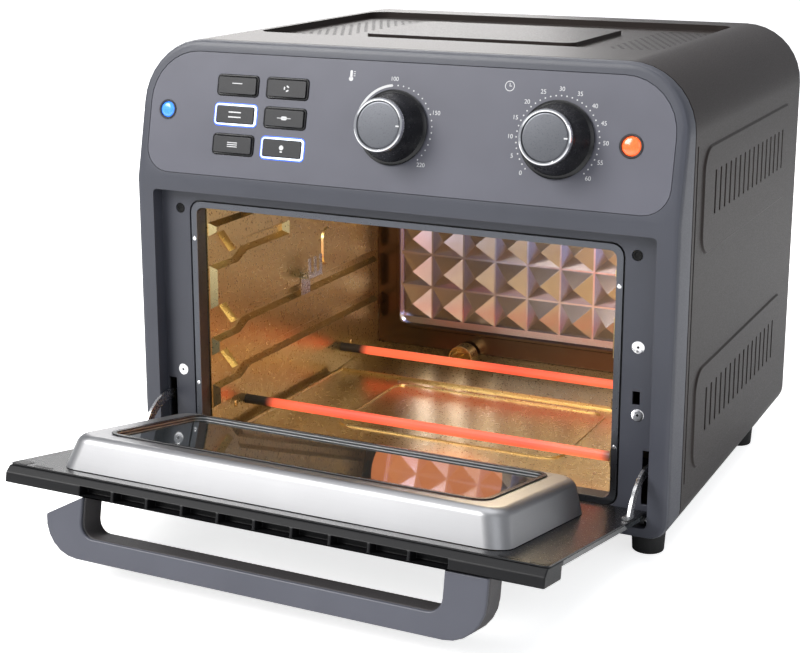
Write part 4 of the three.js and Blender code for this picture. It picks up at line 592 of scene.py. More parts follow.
def node_mesh(node: str) -> bmesh.types.BMesh:
    """Gives a CAD node's mesh as a new bmesh, with its flat faces joined unless it has many holes."""
    work = bmesh.new()
    work.from_mesh(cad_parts[node].data)
    bmesh.ops.remove_doubles(work, verts=work.verts, dist=WELD)
    if node not in PIERCED:
        join_flats(work)
    return work


def join_flats(work: bmesh.types.BMesh) -> None:
    """Joins the triangles of each flat face, in place."""
    bmesh.ops.dissolve_degenerate(work, dist=SLIVER, edges=work.edges)
    bmesh.ops.dissolve_limit(work, angle_limit=FLAT_ANGLE, use_dissolve_boundaries=False,
                             verts=work.verts, edges=work.edges, delimit=set())


def total_area(work: bmesh.types.BMesh) -> float:
    """Gives the area of all faces, in square metres."""
    return sum(face.calc_area() for face in work.faces)


def round_edges(work: bmesh.types.BMesh, edge: Edge, name: str) -> bmesh.types.BMesh:
    """Rounds the sharp edges of a shape, and keeps the plain shape if the rounding spoils it.

    Args:
        work: Shape to round.
        edge: How it is rounded.
        name: Name for the log.

    Returns:
        The rounded shape, or the plain one.
    """
    plain, area = work.copy(), total_area(work)
    limit = math.radians(edge.angle)
    sharp = [one for one in work.edges if one.is_manifold and one.calc_face_angle(0.0) > limit]
    bmesh.ops.bevel(work, geom=sharp, offset=edge.width * MM, offset_type="OFFSET", segments=edge.segments,
                    profile=0.5, affect="EDGES", clamp_overlap=True, material=-1, miter_outer="ARC",
                    spread=BEVEL_SPREAD)
    join_flats(work)
    ratio = total_area(work) / area
    if LEAST_AREA_SHARE < ratio < MOST_AREA_SHARE:
        plain.free()
        return work
    log.warning("edges of %s stay sharp, area ratio %.3f", name, ratio)
    work.free()
    join_flats(plain)
    return plain


def finished(work: bmesh.types.BMesh, name: str) -> bpy.types.Mesh:
    """Writes a bmesh to a new mesh and frees it."""
    mesh = bpy.data.meshes.new(name)
    work.to_mesh(mesh)
    work.free()
    return mesh


def refine(node: str, key: str, body: str, edge: Edge = Edge()) -> bpy.types.Object:
    """Makes a smooth, edge-rounded piece from a CAD node.

    Args:
        node: CAD node.
        key: Palette key of its finish.
        body: CAD body.
        edge: Rounding of its edges.

    Returns:
        The new piece.
    """
    work = round_edges(node_mesh(node), edge, node)
    return publish(f"{node}_looks", finished(work, node), (key,), body, (node,))


class Sculptor:
    """Collects shapes, each placed by a matrix, into one mesh."""

    def __init__(self) -> None:
        """Starts empty."""
        self.work = bmesh.new()

    def spin(self, profile: Outline, matrix: Matrix, steps: int = 64, material: int = 0) -> None:
        """Adds a turned shape.

        Args:
            profile: Radius and height pairs in millimetres, from the bottom to the top.
            matrix: Frame whose Z is the axis.
            steps: Facets round the axis.
            material: Material index.
        """
        work = bmesh.new()
        rows = []
        for radius, height in profile:
            if radius <= 0:
                rows.append([work.verts.new((0, 0, height * MM))])
                continue
            ring = circle(radius * MM, steps)
            rows.append([work.verts.new((x, y, height * MM)) for x, y in ring])
        for lower, upper in zip(rows, rows[1:]):
            for index in range(steps):
                after = (index + 1) % steps
                corners = [lower[index % len(lower)], lower[after % len(lower)],
                           upper[after % len(upper)], upper[index % len(upper)]]
                unique = list(dict.fromkeys(corners))
                if len(unique) > 2:
                    work.faces.new(unique)
        self.merge(work, matrix, material)

    def loft(self, rows: list[list[Vector]], matrix: Matrix, material: int = 0, caps: bool = True) -> None:
        """Adds a skin over closed loops of equal length.

        Args:
            rows: Loops of points in millimetres.
            matrix: Frame of the points.
            material: Material index.
            caps: Whether the two ends are closed.
        """
        work = bmesh.new()
        made = [[work.verts.new(point * MM) for point in row] for row in rows]
        count = len(rows[0])
        for lower, upper in zip(made, made[1:]):
            for index in range(count):
                after = (index + 1) % count
                work.faces.new((lower[index], lower[after], upper[after], upper[index]))
        if caps:
            work.faces.new(list(reversed(made[0])))
            work.faces.new(made[-1])
        self.merge(work, matrix, material)

    def sheet(self, points: Outline, low: float, high: float, matrix: Matrix, material: int = 0) -> None:
        """Adds a flat shape of an outline, between two heights in millimetres."""
        rows = [[Vector((x, y, level)) for x, y in points] for level in (low, high)]
        self.loft(rows, matrix, material)

    def merge(self, work: bmesh.types.BMesh, matrix: Matrix, material: int) -> None:
        """Moves a shape to its place and adds it.

        Args:
            work: Shape, freed afterwards.
            matrix: Its place.
            material: Material index.
        """
        bmesh.ops.transform(work, matrix=matrix, verts=work.verts)
        bmesh.ops.recalc_face_normals(work, faces=work.faces)
        for face in work.faces:
            face.material_index = material
        held = bpy.data.meshes.new("held")
        work.to_mesh(held)
        work.free()
        self.work.from_mesh(held)
        bpy.data.meshes.remove(held)

    def publish(self, name: str, keys: tuple[str, ...], body: str,
                replaces: tuple[str, ...] = ()) -> bpy.types.Object:
        """Puts all shapes into the scene as one piece."""
        return publish(name, finished(self.work, name), keys, body, replaces)


def circle(radius: float, steps: int = 24, x: float = 0.0, y: float = 0.0) -> Outline:
    """Gives the points of a circle, in the units of its radius."""
    turns = [2 * math.pi / steps * index for index in range(steps)]
    return [(x + radius * math.cos(turn), y + radius * math.sin(turn)) for turn in turns]


def ring_band(radius: float, width: float, start: float, end: float, steps: int = 24) -> Outline:
    """Gives the outline of a band along an arc.

    Args:
        radius: Middle radius in millimetres.
        width: Band width.
        start: Clock angle of the start, in degrees from the top.
        end: Clock angle of the end.
        steps: Steps along the arc.

    Returns:
        Points in millimetres.
    """
    angles = [math.radians(start + (end - start) * index / steps) for index in range(steps + 1)]
    far, near = radius + width / 2, radius - width / 2
    outer = [(far * math.sin(angle), far * math.cos(angle)) for angle in angles]
    inner = [(near * math.sin(angle), near * math.cos(angle)) for angle in reversed(angles)]
    return outer + inner


def rounded(half_x: float, half_y: float, radius: float, x: float = 0.0, y: float = 0.0,
            steps: int = 6) -> Outline:
    """Gives the points of a rounded rectangle in millimetres."""
    points = []
    for corner, (side_x, side_y) in enumerate(((1, 1), (-1, 1), (-1, -1), (1, -1))):
        for index in range(steps + 1):
            angle = math.pi / 2 * (corner + index / steps)
            points.append((x + side_x * (half_x - radius) + radius * math.cos(angle),
                           y + side_y * (half_y - radius) + radius * math.sin(angle)))
    return points


def bar_shape(x: float, y: float, half_x: float, half_y: float) -> Outline:
    """Gives the points of a plain bar in millimetres, for print and slots."""
    left, right, low, high = x - half_x, x + half_x, y - half_y, y + half_y
    return [(left, low), (right, low), (right, high), (left, high)]


@dataclass(frozen=True)
class ScrewShape:
    """Form of every cross-slot screw head, as shares of its radius and height."""

    steps: int = 32
    dome_steps: int = 6
    rim_share: float = 0.35
    slot_length_share: float = 0.62
    slot_width_share: float = 0.18
    slot_depth_share: float = 0.6
    slot_proud: float = 0.03
    slot_turn: float = math.pi / 5


def screw(work: Sculptor, matrix: Matrix, radius: float, height: float = 1.3,
          shape: ScrewShape = ScrewShape()) -> None:
    """Adds a domed cross-slot screw head, as material 0 with its slots, black bars of painted shade, as
    material 1.

    Args:
        work: Where it is added.
        matrix: Its seat: Z points out.
        radius: Head radius in millimetres.
        height: Dome height.
        shape: Shares and counts of its form.
    """
    dome = []
    for step in range(shape.dome_steps):
        angle = math.pi / 2 * step / shape.dome_steps
        rise_share = shape.rim_share + (1 - shape.rim_share) * math.sin(angle)
        dome.append((radius * math.cos(angle), height * rise_share))
    work.spin([(0, 0), (radius, 0), *dome, (0, height)], matrix, shape.steps)
    # The cross slots are black bars standing proud of the dome: painted shade in place of recesses.
    for turn in (0, math.pi / 2):
        slot = matrix @ Matrix.Rotation(turn + shape.slot_turn, 4, "Z")
        bar = bar_shape(0.0, 0.0, radius * shape.slot_length_share, radius * shape.slot_width_share)
        work.sheet(bar, height * shape.slot_depth_share, height + shape.slot_proud, slot, 1)


@dataclass(frozen=True)
class ShellSize:
    """Sizes of the housing's small parts, in millimetres from the bezel's front plane."""

    screw_radius: float = 3.6
    rear_screw_x: float = 184.0
    rear_screw_low: float = 34.0
    rear_screw_high: float = 285.0
    rear_plane: float = 314.0
    hole_columns: int = 6
    hole_rows: int = 25
    hole_inner: float = 104.0
    hole_pitch: float = 6.6
    hole_front: float = 108.0
    hole_radius: float = 1.5
    hole_steps: int = 10
    hole_sink: float = 0.3
    hole_proud: float = 0.03
    top_floor: float = 316.0


class Shell:
    """Painted shell, rear cover, base plate, feet and gland."""

    def __init__(self, size: ShellSize = ShellSize()) -> None:
        """Keeps the sizes."""
        self.size = size

    def build(self) -> None:
        """Refines the housing's nodes."""
        for node, key, edge in (("outer_shell", "shell", SHEET_EDGE), ("rear_cover", "shell", FINE),
                                ("base_plate", "shell", FINE), ("cord_gland", "rubber", SHEET_EDGE)):
            refine(node, key, Body.OVEN.value, edge)
        for row in ("front", "rear"):
            for side in ("left", "right"):
                refine(f"foot_{row}_{side}", "rubber", Body.OVEN.value, SOFT)

    def dress(self) -> None:
        """Adds the screws of the rear cover."""
        size = self.size
        work = Sculptor()
        for x in (-size.rear_screw_x, 0, size.rear_screw_x):
            for z in (size.rear_screw_low, size.rear_screw_high):
                seat = upright_matrix(x, size.rear_plane, z) @ Matrix.Rotation(math.pi, 4, "Y")
                screw(work, seat, size.screw_radius)
        work.publish("rear_cover_screws", ("steel", "plug_black_and_hole_shade"), Body.OVEN.value)
        self.perforations()

    def perforations(self) -> None:
        """Adds the two fields of small round holes beside the raised island of the top, as black discs of
        painted shade.
        """
        size = self.size
        low, high, radius = -size.hole_sink, size.hole_proud, size.hole_radius
        profile = [(0, low), (radius, low), (radius, high), (0, high)]
        holes = Sculptor()
        for side in (-1, 1):
            for column in range(size.hole_columns):
                for row in range(size.hole_rows):
                    x = side * (size.hole_inner + size.hole_pitch * (column + 0.5 * (row % 2)))
                    seat = place(x, size.hole_front + size.hole_pitch * row, size.top_floor)
                    # Each hole is a thin black disc: painted shade in place of a real hole.
                    holes.spin(profile, Matrix.Translation(seat), size.hole_steps)
        holes.publish("top_perforations", ("plug_black_and_hole_shade",), Body.OVEN.value)


@dataclass(frozen=True)
class BezelSize:
    """Places of the bezel's small parts, in millimetres."""

    floor_y: float = 11.0
    screw_radius: float = 4.2
    screw_height: float = 0.26
    screws: tuple[tuple[float, float], ...] = ((-172.3, 80.3), (173.1, 141.6), (174.1, 96.3))
    frame_screw_radius: float = 1.5
    frame_screw_x: float = 159.2
    frame_screw_heights: tuple[float, ...] = (72.0, 180.0)
    catch_x: float = 170.5
    catch_height: float = 201.3
    catch_depth: float = 1.2
    catch_profile: tuple[tuple[float, float], ...] = (
        (0, 0), (3.4, 0), (3.4, 0.5), (2.4, 0.9), (1.6, 0.2), (0, 0.1))
    catch_steps: int = 32


class Bezel:
    """Front bezel with the bright frame round the mouth."""

    def __init__(self, size: BezelSize = BezelSize()) -> None:
        """Keeps the sizes."""
        self.size = size

    def build(self) -> None:
        """Refines the bezel, the frame and the hinge pins."""
        refine("front_bezel", "bezel", Body.OVEN.value, MOULDED)
        refine("cavity_front_frame", "frame", Body.OVEN.value, SHEET_EDGE)
        for side in ("left", "right"):
            refine(f"hinge_pin_{side}", "steel", Body.OVEN.value, FINE)

    def dress(self) -> None:
        """Adds the screws of the recess, the catch plugs and the screws of the frame."""
        size = self.size
        work = Sculptor()
        for x, z in size.screws:
            screw(work, upright_matrix(x, size.floor_y, z), size.screw_radius, size.screw_height)
        work.publish("recess_screws", ("chrome", "plug_black_and_hole_shade"), Body.OVEN.value)
        catches = Sculptor()
        for side in (-1, 1):
            seat = upright_matrix(side * size.catch_x, size.floor_y + size.catch_depth, size.catch_height)
            catches.spin(list(size.catch_profile), seat, size.catch_steps)
        catches.publish("catch_plugs", ("plug_black_and_hole_shade",), Body.OVEN.value)
        frame_screws = Sculptor()
        for z in size.frame_screw_heights:
            for side in (-1, 1):
                seat = upright_matrix(side * size.frame_screw_x, size.floor_y, z)
                screw(frame_screws, seat, size.frame_screw_radius, size.screw_height)
        frame_screws.publish("frame_screws", ("chrome", "plug_black_and_hole_shade"), Body.OVEN.value)


@dataclass(frozen=True)
class KnobSize:
    """Profile of one dial, in millimetres out of the panel.

    Attributes:
        turn_steps: Facets round the axis.
        clearance: Gap between the panel and the skirt.
        skirt: Radius of the skirt.
        skirt_profile: Points of the skirt, from its radius and from the clearance.
        flare: Radius and height pairs from the skirt to the neck.
        shoulder: Radius under the cone's top edge.
        shoulder_drop: Height of that edge.
        top: Radius of the cone's top.
        top_flat: Radius inside which the top is hidden.
        top_height: Height of the cone's top.
        seat_sink: How far ring and cap reach into the cone.
        ring: Outer radius of the bright ring.
        ring_gap: Gap between cap and ring.
        ring_outside: Points of the ring's outer side, from its radius and the face.
        ring_inside: Points of its inner side, from its inner radius and the face.
        ring_foot: Height of the ring's slanted foot.
        ring_foot_inset: How much narrower the ring is at its foot.
        cap: Radius of the cap.
        cap_draft: How much narrower the cap's foot is.
        cap_profile: Points of the cap's edge, from its radius and its top.
        face: Height of the ring's face.
        face_sink: How far the cap's top lies under the face.
        mark_inner: Radius where the pointer starts.
        mark_outer: Radius where it ends.
        mark_half_width: Half its width.
        mark_sink: How far its top lies under the face.
        mark_depth: Its thickness.
    """

    turn_steps: int = 96
    clearance: float = 0.6
    skirt: float = 25.2
    skirt_profile: tuple[tuple[float, float], ...] = (
        (-0.4, 0), (0, 0.5), (0, 1.2), (-0.6, 1.9), (-2.2, 2.6))
    flare: tuple[tuple[float, float], ...] = ((21.6, 6.0), (20.3, 9.0), (19.4, 12.5), (18.9, 16.5))
    shoulder: float = 18.5
    shoulder_drop: float = 1.2
    top: float = 18.0
    top_flat: float = 16.0
    top_height: float = 20.2
    seat_sink: float = 2.0
    ring: float = 17.8
    ring_gap: float = 0.2
    ring_outside: tuple[tuple[float, float], ...] = ((0, -1.2), (-0.35, -0.4), (-1.1, 0))
    ring_inside: tuple[tuple[float, float], ...] = ((0.3, -0.4), (0, -1.0))
    ring_foot: float = 1.0
    ring_foot_inset: float = 0.3
    cap: float = 15.4
    cap_draft: float = 0.2
    cap_profile: tuple[tuple[float, float], ...] = ((0, -0.7), (-0.4, -0.2), (-1.2, 0))
    face: float = 24.0
    face_sink: float = 0.9
    mark_inner: float = 12.6
    mark_outer: float = 15.0
    mark_half_width: float = 0.45
    mark_sink: float = 0.86
    mark_depth: float = 0.14


@dataclass(frozen=True)
class ButtonSize:
    """Places and marks of the push buttons, in millimetres."""

    columns: tuple[float, ...] = (-121.9, -82.6)
    rows: tuple[float, ...] = (69.5, 49.2, 28.4)
    half_width: float = 16.5
    half_height: float = 7.25
    radius: float = 2.6
    proud: float = 1.6
    lit: tuple[int, ...] = (3, 6)
    rim_outer: float = 0.15
    rim_inner: float = -1.15
    rim_high: float = 0.72
    halo_outer: float = 0.95
    halo_inner: float = 0.2
    halo_high: float = 0.12
    rim_sink: float = 0.05
    rim_shoulder_share: float = 0.8
    rim_bevel: float = 0.15

    def places(self) -> list[tuple[float, float]]:
        """Gives the middle of each button on the slope, row by row from the top."""
        return [(x, v) for v in self.rows for x in self.columns]


@dataclass(frozen=True)
class PrintSize:
    """Sizes of the panel's print, in millimetres, with clock angles in degrees from a dial's top."""

    low: float = -0.04
    high: float = 0.06
    dot: float = 0.5
    dot_steps: int = 12
    dots: float = 28.0
    numbers: float = 32.2
    digit_size: float = 4.0
    timer_span: tuple[float, float] = (-135.0, 135.0)
    timer_dots: int = 37
    timer_step: int = 5
    timer_numbers: int = 13
    temp_span: tuple[float, float] = (-7.0, 135.0)
    temp_dots: int = 18
    temp_numbers: tuple[tuple[str, float], ...] = (("100", -4.0), ("150", 69.0), ("220", 136.0))
    sweep_start: float = -72.0
    sweep_width: float = 1.7
    arc_steps: int = 40
    clock: tuple[float, float] = (79.9, 80.6)
    clock_radius: float = 3.1
    clock_line: float = 0.45
    clock_end: float = 359.9
    hour_hand: Bar = (0.6, 0.0, 0.8, 0.22)
    minute_hand: Bar = (0.0, 0.9, 0.22, 1.1)
    gauge: tuple[float, float] = (-34.7, 81.3)
    gauge_tube: tuple[float, float, float, float, float] = (0.9, 2.6, 0.85, 0.0, 0.9)
    gauge_bulb: float = 1.6
    gauge_bulb_steps: int = 20
    gauge_bulb_drop: float = 2.2
    gauge_ticks: int = 3
    gauge_tick: Bar = (2.4, 2.6, 0.7, 0.2)
    gauge_pitch: float = 1.4


@dataclass(frozen=True)
class IconSize:
    """Sizes of the buttons' icons, in millimetres: lines, fan, two bars, roast on a spit, and bulb.

    Attributes:
        line: Half length and half width of one thin line.
        line_pitch: Distance between thin lines.
        blade_starts: Clock angle where each fan blade starts, in degrees.
        blade: Middle radius and width of a blade.
        blade_sweep: Degrees that a blade runs round.
        blade_steps: Steps along a blade.
        pair: Half length and half width of one thick bar.
        pair_offset: Distance of each thick bar from the middle.
        roast: Half length, half width and corner radius of the roast.
        spit: Half length and half width of the spit.
        bulb: Radius of the bulb.
        bulb_steps: Facets round it.
        bulb_rise: Height of its middle.
        bulb_foot: Bar under the bulb.
    """

    line: tuple[float, float] = (4.0, 0.3)
    line_pitch: float = 1.4
    blade_starts: Triple = (0.0, 120.0, 240.0)
    blade: tuple[float, float] = (1.7, 1.0)
    blade_sweep: float = 70.0
    blade_steps: int = 10
    pair: tuple[float, float] = (5.0, 0.42)
    pair_offset: float = 1.7
    roast: Triple = (2.4, 1.3, 1.25)
    spit: tuple[float, float] = (5.4, 0.25)
    bulb: float = 1.7
    bulb_steps: int = 24
    bulb_rise: float = 0.6
    bulb_foot: Bar = (0.0, -2.2, 0.9, 0.5)


@dataclass(frozen=True)
class LampSize:
    """Places of the two indicator lamps and the ring round each, in millimetres."""

    lamps: tuple[tuple[float, float, float], ...] = ((-178.0, 49.8, 5.5), (164.3, 48.0, 6.3))
    ring_profile: tuple[tuple[float, float], ...] = (
        (0.2, -0.1), (1.5, -0.1), (1.5, 0.4), (1.0, 0.8), (0.4, 0.8), (0.2, 0.5), (0.2, -0.1))
    ring_steps: int = 48


class Controls:
    """Control panel with buttons, dials, lamps and print."""

    def __init__(self, knob: KnobSize = KnobSize(), button: ButtonSize = ButtonSize(),
                 ink: PrintSize = PrintSize(), icons: IconSize = IconSize(),
                 lamp: LampSize = LampSize()) -> None:
        """Keeps the sizes."""
        self.icons = icons
        self.knob = knob
        self.button = button
        self.ink = ink
        self.lamp = lamp

    def build(self) -> None:
        """Makes the panel and everything set in it."""
        refine("control_panel", "panel", Body.OVEN.value, PANEL_EDGE)
        refine("switch_board", "board", Body.OVEN.value, FINE)
        refine("button_light_guide", "gloss", Body.OVEN.value, FINE)
        for node in ("thermostat", "timer_unit"):
            refine(node, "motor", Body.OVEN.value)
        refine("power_lamp", "blue", Body.OVEN.value, MOULDED)
        refine("heating_lamp", "orange", Body.OVEN.value, MOULDED)
        self.dial(Body.TEMP.value, DIAL_TEMP_X, "temp_knob")
        self.dial(Body.TIMER.value, DIAL_TIMER_X, "timer_knob")
        refine("thermostat_shaft", "steel", Body.TEMP.value, FINE)
        refine("timer_shaft", "steel", Body.TIMER.value, FINE)
        for index, _ in enumerate(self.button.places(), 1):
            refine(f"button_{index}", "key", f"button_body_{index}", MOULDED)

    def dial(self, body: str, x: float, node: str) -> None:
        """Makes one dial: black cone, bright ring, satin cap and pointer.

        Args:
            body: CAD body that it turns with.
            x: Millimetres across from the middle.
            node: CAD node of the cone, and the start of the ring's and the cap's names.
        """
        size = self.knob
        seat = slope_matrix(x, DIAL_V)
        skirt = [(size.skirt + inset, size.clearance + rise) for inset, rise in size.skirt_profile]
        shoulder = (size.shoulder, size.top_height - size.shoulder_drop)
        crown = [(size.top, size.top_height), (size.top_flat, size.top_height), (0, size.top_height)]
        cone = Sculptor()
        cone.spin([(0, size.clearance), *skirt, *size.flare, shoulder, *crown], seat, size.turn_steps)
        cone.publish(f"{body}_cone", ("gloss",), body, (node,))
        low = size.top_height - size.seat_sink
        self.dial_ring(seat, low).publish(f"{body}_ring", ("chrome",), body, (f"{node}_ring",))
        top = size.face - size.face_sink
        edge = [(size.cap + inset, top + rise) for inset, rise in size.cap_profile]
        cap = Sculptor()
        cap.spin([(0, low), (size.cap - size.cap_draft, low), *edge, (0, top)], seat, size.turn_steps)
        cap.publish(f"{body}_cap", ("cap",), body, (f"{node}_cap",))
        high = size.face - size.mark_sink
        middle, half = (size.mark_inner + size.mark_outer) / 2, (size.mark_outer - size.mark_inner) / 2
        mark = Sculptor()
        pointer = bar_shape(middle, 0.0, half, size.mark_half_width)
        mark.sheet(pointer, high - size.mark_depth, high, seat)
        mark.publish(f"{body}_pointer", ("print",), body)

    def dial_ring(self, seat: Matrix, low: float) -> Sculptor:
        """Gives the bright ring round a dial's cap.

        Args:
            seat: The dial's frame.
            low: Height of its hidden foot.

        Returns:
            The shape, to be published.
        """
        size = self.knob
        inner = size.cap + size.ring_gap
        foot = [(inner, low), (size.ring - size.ring_foot_inset, low), (size.ring, low + size.ring_foot)]
        outside = [(size.ring + inset, size.face + rise) for inset, rise in size.ring_outside]
        inside = [(inner + inset, size.face + rise) for inset, rise in size.ring_inside]
        ring = Sculptor()
        ring.spin([*foot, *outside, *inside, (inner, low)], seat, size.turn_steps)
        return ring

    def dress(self) -> None:
        """Adds the print, the lit rims and the lamp rings."""
        self.dial_print()
        self.button_marks()
        self.rims()
        work = Sculptor()
        for x, v, radius in self.lamp.lamps:
            profile = [(radius + grow, height) for grow, height in self.lamp.ring_profile]
            work.spin(profile, slope_matrix(x, v), self.lamp.ring_steps)
        work.publish("lamp_rings", ("dark",), Body.OVEN.value)

    def dial_print(self) -> None:
        """Prints the dots, the numbers and the two small icons of the dials."""
        ink = self.ink
        work = Sculptor()
        self.dots(work, DIAL_TIMER_X, ink.timer_span, ink.timer_dots)
        self.dots(work, DIAL_TEMP_X, ink.temp_span, ink.temp_dots)
        sweep = ring_band(ink.dots, ink.sweep_width, ink.sweep_start, ink.temp_span[0], ink.arc_steps)
        work.sheet(sweep, ink.low, ink.high, slope_matrix(DIAL_TEMP_X, DIAL_V))
        first, last = ink.timer_span
        for step in range(ink.timer_numbers):
            angle = first + (last - first) * step / (ink.timer_numbers - 1)
            self.number(work, str(step * ink.timer_step), DIAL_TIMER_X, angle)
        for text, angle in ink.temp_numbers:
            self.number(work, text, DIAL_TEMP_X, angle)
        self.clock_icon(work)
        self.gauge_icon(work)
        work.publish("panel_print", ("print",), Body.OVEN.value)

    def dots(self, work: Sculptor, x: float, span: tuple[float, float], count: int) -> None:
        """Prints the ring of dots round a dial.

        Args:
            work: Where they are added.
            x: The dial's place across.
            span: Clock angles of the first and the last dot, in degrees.
            count: Number of dots.
        """
        ink = self.ink
        seat = slope_matrix(x, DIAL_V)
        first, last = span
        for index in range(count):
            angle = math.radians(first + (last - first) * index / (count - 1))
            dot = circle(ink.dot, ink.dot_steps, ink.dots * math.sin(angle), ink.dots * math.cos(angle))
            work.sheet(dot, ink.low, ink.high, seat)

    def clock_icon(self, work: Sculptor) -> None:
        """Prints the clock beside the timer's dial."""
        ink = self.ink
        seat = slope_matrix(*ink.clock)
        rim = ring_band(ink.clock_radius, ink.clock_line, 0.0, ink.clock_end, ink.arc_steps)
        for shape in (rim, bar_shape(*ink.minute_hand), bar_shape(*ink.hour_hand)):
            work.sheet(shape, ink.low, ink.high, seat)

    def gauge_icon(self, work: Sculptor) -> None:
        """Prints the thermometer beside the temperature dial."""
        ink = self.ink
        seat = slope_matrix(*ink.gauge)
        bulb = circle(ink.gauge_bulb, ink.gauge_bulb_steps, 0.0, -ink.gauge_bulb_drop)
        shapes = [rounded(*ink.gauge_tube), bulb]
        x, top, half_x, half_y = ink.gauge_tick
        for tick in range(ink.gauge_ticks):
            shapes.append(bar_shape(x, top - ink.gauge_pitch * tick, half_x, half_y))
        for shape in shapes:
            work.sheet(shape, ink.low, ink.high, seat)

    def number(self, work: Sculptor, text: str, x: float, angle: float) -> None:
        """Prints one upright number beside a dial.

        Args:
            work: Where it is added.
            text: The digits.
            x: The dial's place across.
            angle: Clock angle of the number, in degrees from the top.
        """
        ink = self.ink
        turn = math.radians(angle)
        across, up = ink.numbers * math.sin(turn), ink.numbers * math.cos(turn)
        seat = slope_matrix(x + across, DIAL_V + up, ink.high / 2)
        curve = bpy.data.curves.new("digits", "FONT")
        curve.body = text
        curve.size = ink.digit_size * MM
        curve.extrude = ink.high / 2 * MM
        curve.align_x, curve.align_y = "CENTER", "CENTER"
        holder = bpy.data.objects.new("digits", curve)
        bpy.context.scene.collection.objects.link(holder)
        bpy.context.view_layer.update()
        mesh = bpy.data.meshes.new_from_object(holder.evaluated_get(bpy.context.evaluated_depsgraph_get()))
        bpy.data.objects.remove(holder)
        bpy.data.curves.remove(curve)
        digits = bmesh.new()
        digits.from_mesh(mesh)
        bpy.data.meshes.remove(mesh)
        work.merge(digits, seat, 0)

    def icon(self, index: int) -> list[Outline]:
        """Gives the outlines of one button's generic icon, in millimetres from its middle."""
        icon = self.icons
        if index == 1:
            return [bar_shape(0.0, icon.line_pitch, *icon.line)]
        if index == 2:
            spans = [(start, start + icon.blade_sweep) for start in icon.blade_starts]
            return [ring_band(*icon.blade, *span, icon.blade_steps) for span in spans]
        if index == 3:
            return [bar_shape(0.0, side * icon.pair_offset, *icon.pair) for side in (-1, 1)]
        if index == 4:
            return [rounded(*icon.roast), bar_shape(0.0, 0.0, *icon.spit)]
        if index == 5:
            return [bar_shape(0.0, side * icon.line_pitch, *icon.line) for side in (1, 0, -1)]
        return [circle(icon.bulb, icon.bulb_steps, 0.0, icon.bulb_rise), bar_shape(*icon.bulb_foot)]

    def button_marks(self) -> None:
        """Prints one generic icon on each button, which moves with it."""
        for index, (x, v) in enumerate(self.button.places(), 1):
            work = Sculptor()
            seat = slope_matrix(x, v, self.button.proud)
            for outline in self.icon(index):
                work.sheet(outline, self.ink.low, self.ink.high, seat)
            work.publish(f"button_{index}_icon", ("print",), f"button_body_{index}")

    def rims(self) -> None:
        """Adds the glowing rims of the lit buttons, with a blue halo beside them."""
        size = self.button
        for index in size.lit:
            x, v = size.places()[index - 1]
            rim = (size.rim_outer, size.rim_inner, size.rim_high)
            halo = (size.halo_outer, size.halo_inner, size.halo_high)
            self.rim(f"button_{index}_rim", "lit", x, v, rim)
            self.rim(f"button_{index}_halo", "halo", x, v, halo)

    def rim(self, name: str, key: str, x: float, v: float, band: Triple) -> None:
        """Adds one band round a button, with each point's share of the way across it as rim_share.

        Args:
            name: Piece name.
            key: Palette key.
            x: The button's place across.
            v: The button's place up the slope.
            band: How far the band's outer and inner edges stand out from the button, and its height.
        """
        size = self.button
        outer, inner, high = band
        low = -size.rim_sink
        rows = []
        for grow, level in ((outer, low), (outer, high * size.rim_shoulder_share),
                            (outer - size.rim_bevel, high), (inner, high), (inner, low)):
            loop = rounded(size.half_width + grow, size.half_height + grow, size.radius + grow)
            rows.append([Vector((px, py, level)) for px, py in loop])
        rows.append(rows[0])
        work = Sculptor()
        work.loft(rows, slope_matrix(x, v), 0, False)
        piece = work.publish(name, (key,), Body.OVEN.value)
        share = piece.data.attributes.new("rim_share", "FLOAT", "POINT")
        for vertex, value in zip(piece.data.vertices, share.data):
            value.value = (vertex.co.x / MM - x + size.half_width) / (2 * size.half_width)


@dataclass(frozen=True)
class CavitySize:
    """Brass screws of the left wall, placed in millimetres across, back and up."""

    screws: tuple[Triple, ...] = ((-156.0, 56.0, 43.0), (-156.0, 245.0, 42.0), (-150.9, 155.0, 114.0))
    screw_radius: float = 2.6
    screw_height: float = 1.0


class Cavity:
    """Cooking chamber with its heaters, lamp, bracket, socket, fan and tray."""

    def __init__(self, size: CavitySize = CavitySize()) -> None:
        """Keeps the sizes."""
        self.size = size

    def build(self) -> None:
        """Refines the chamber's nodes."""
        for node in ("cavity_left_wall", "cavity_right_wall", "cavity_roof", "cavity_floor"):
            refine(node, "cavity", Body.OVEN.value, SHEET_EDGE)
        refine("cavity_back_wall", "studs", Body.OVEN.value, SHEET_EDGE)
        for node in ("lower_front_heater", "lower_rear_heater"):
            refine(node, "heater", Body.OVEN.value, FINE)
        for node in ("upper_front_heater", "upper_rear_heater"):
            refine(node, "sheath", Body.OVEN.value, FINE)
        refine("oven_lamp", "lens", Body.OVEN.value, MOULDED)
        refine("rotisserie_bracket", "steel", Body.OVEN.value)
        refine("rotisserie_motor", "motor", Body.OVEN.value)
        refine("fan_guard", "steel", Body.OVEN.value, FINE)
        refine("fan_motor", "motor", Body.OVEN.value)
        refine("convection_fan", "steel", Body.FAN.value, FINE)
        refine("rotisserie_socket", "steel", Body.SPIT.value)
        refine("crumb_tray", "cavity", Body.TRAY.value, TRAY_EDGE)

    def dress(self) -> None:
        """Adds the screws at the heaters' ends and under the bracket."""
        size = self.size
        work = Sculptor()
        for x, y, z in size.screws:
            seat = frame_matrix(place(x, y, z), Vector((0, -1, 0)), Vector((0, 0, 1)), Vector((1, 0, 0)))
            screw(work, seat, size.screw_radius, size.screw_height)
        work.publish("wall_screws", ("brass", "plug_black_and_hole_shade"), Body.OVEN.value)


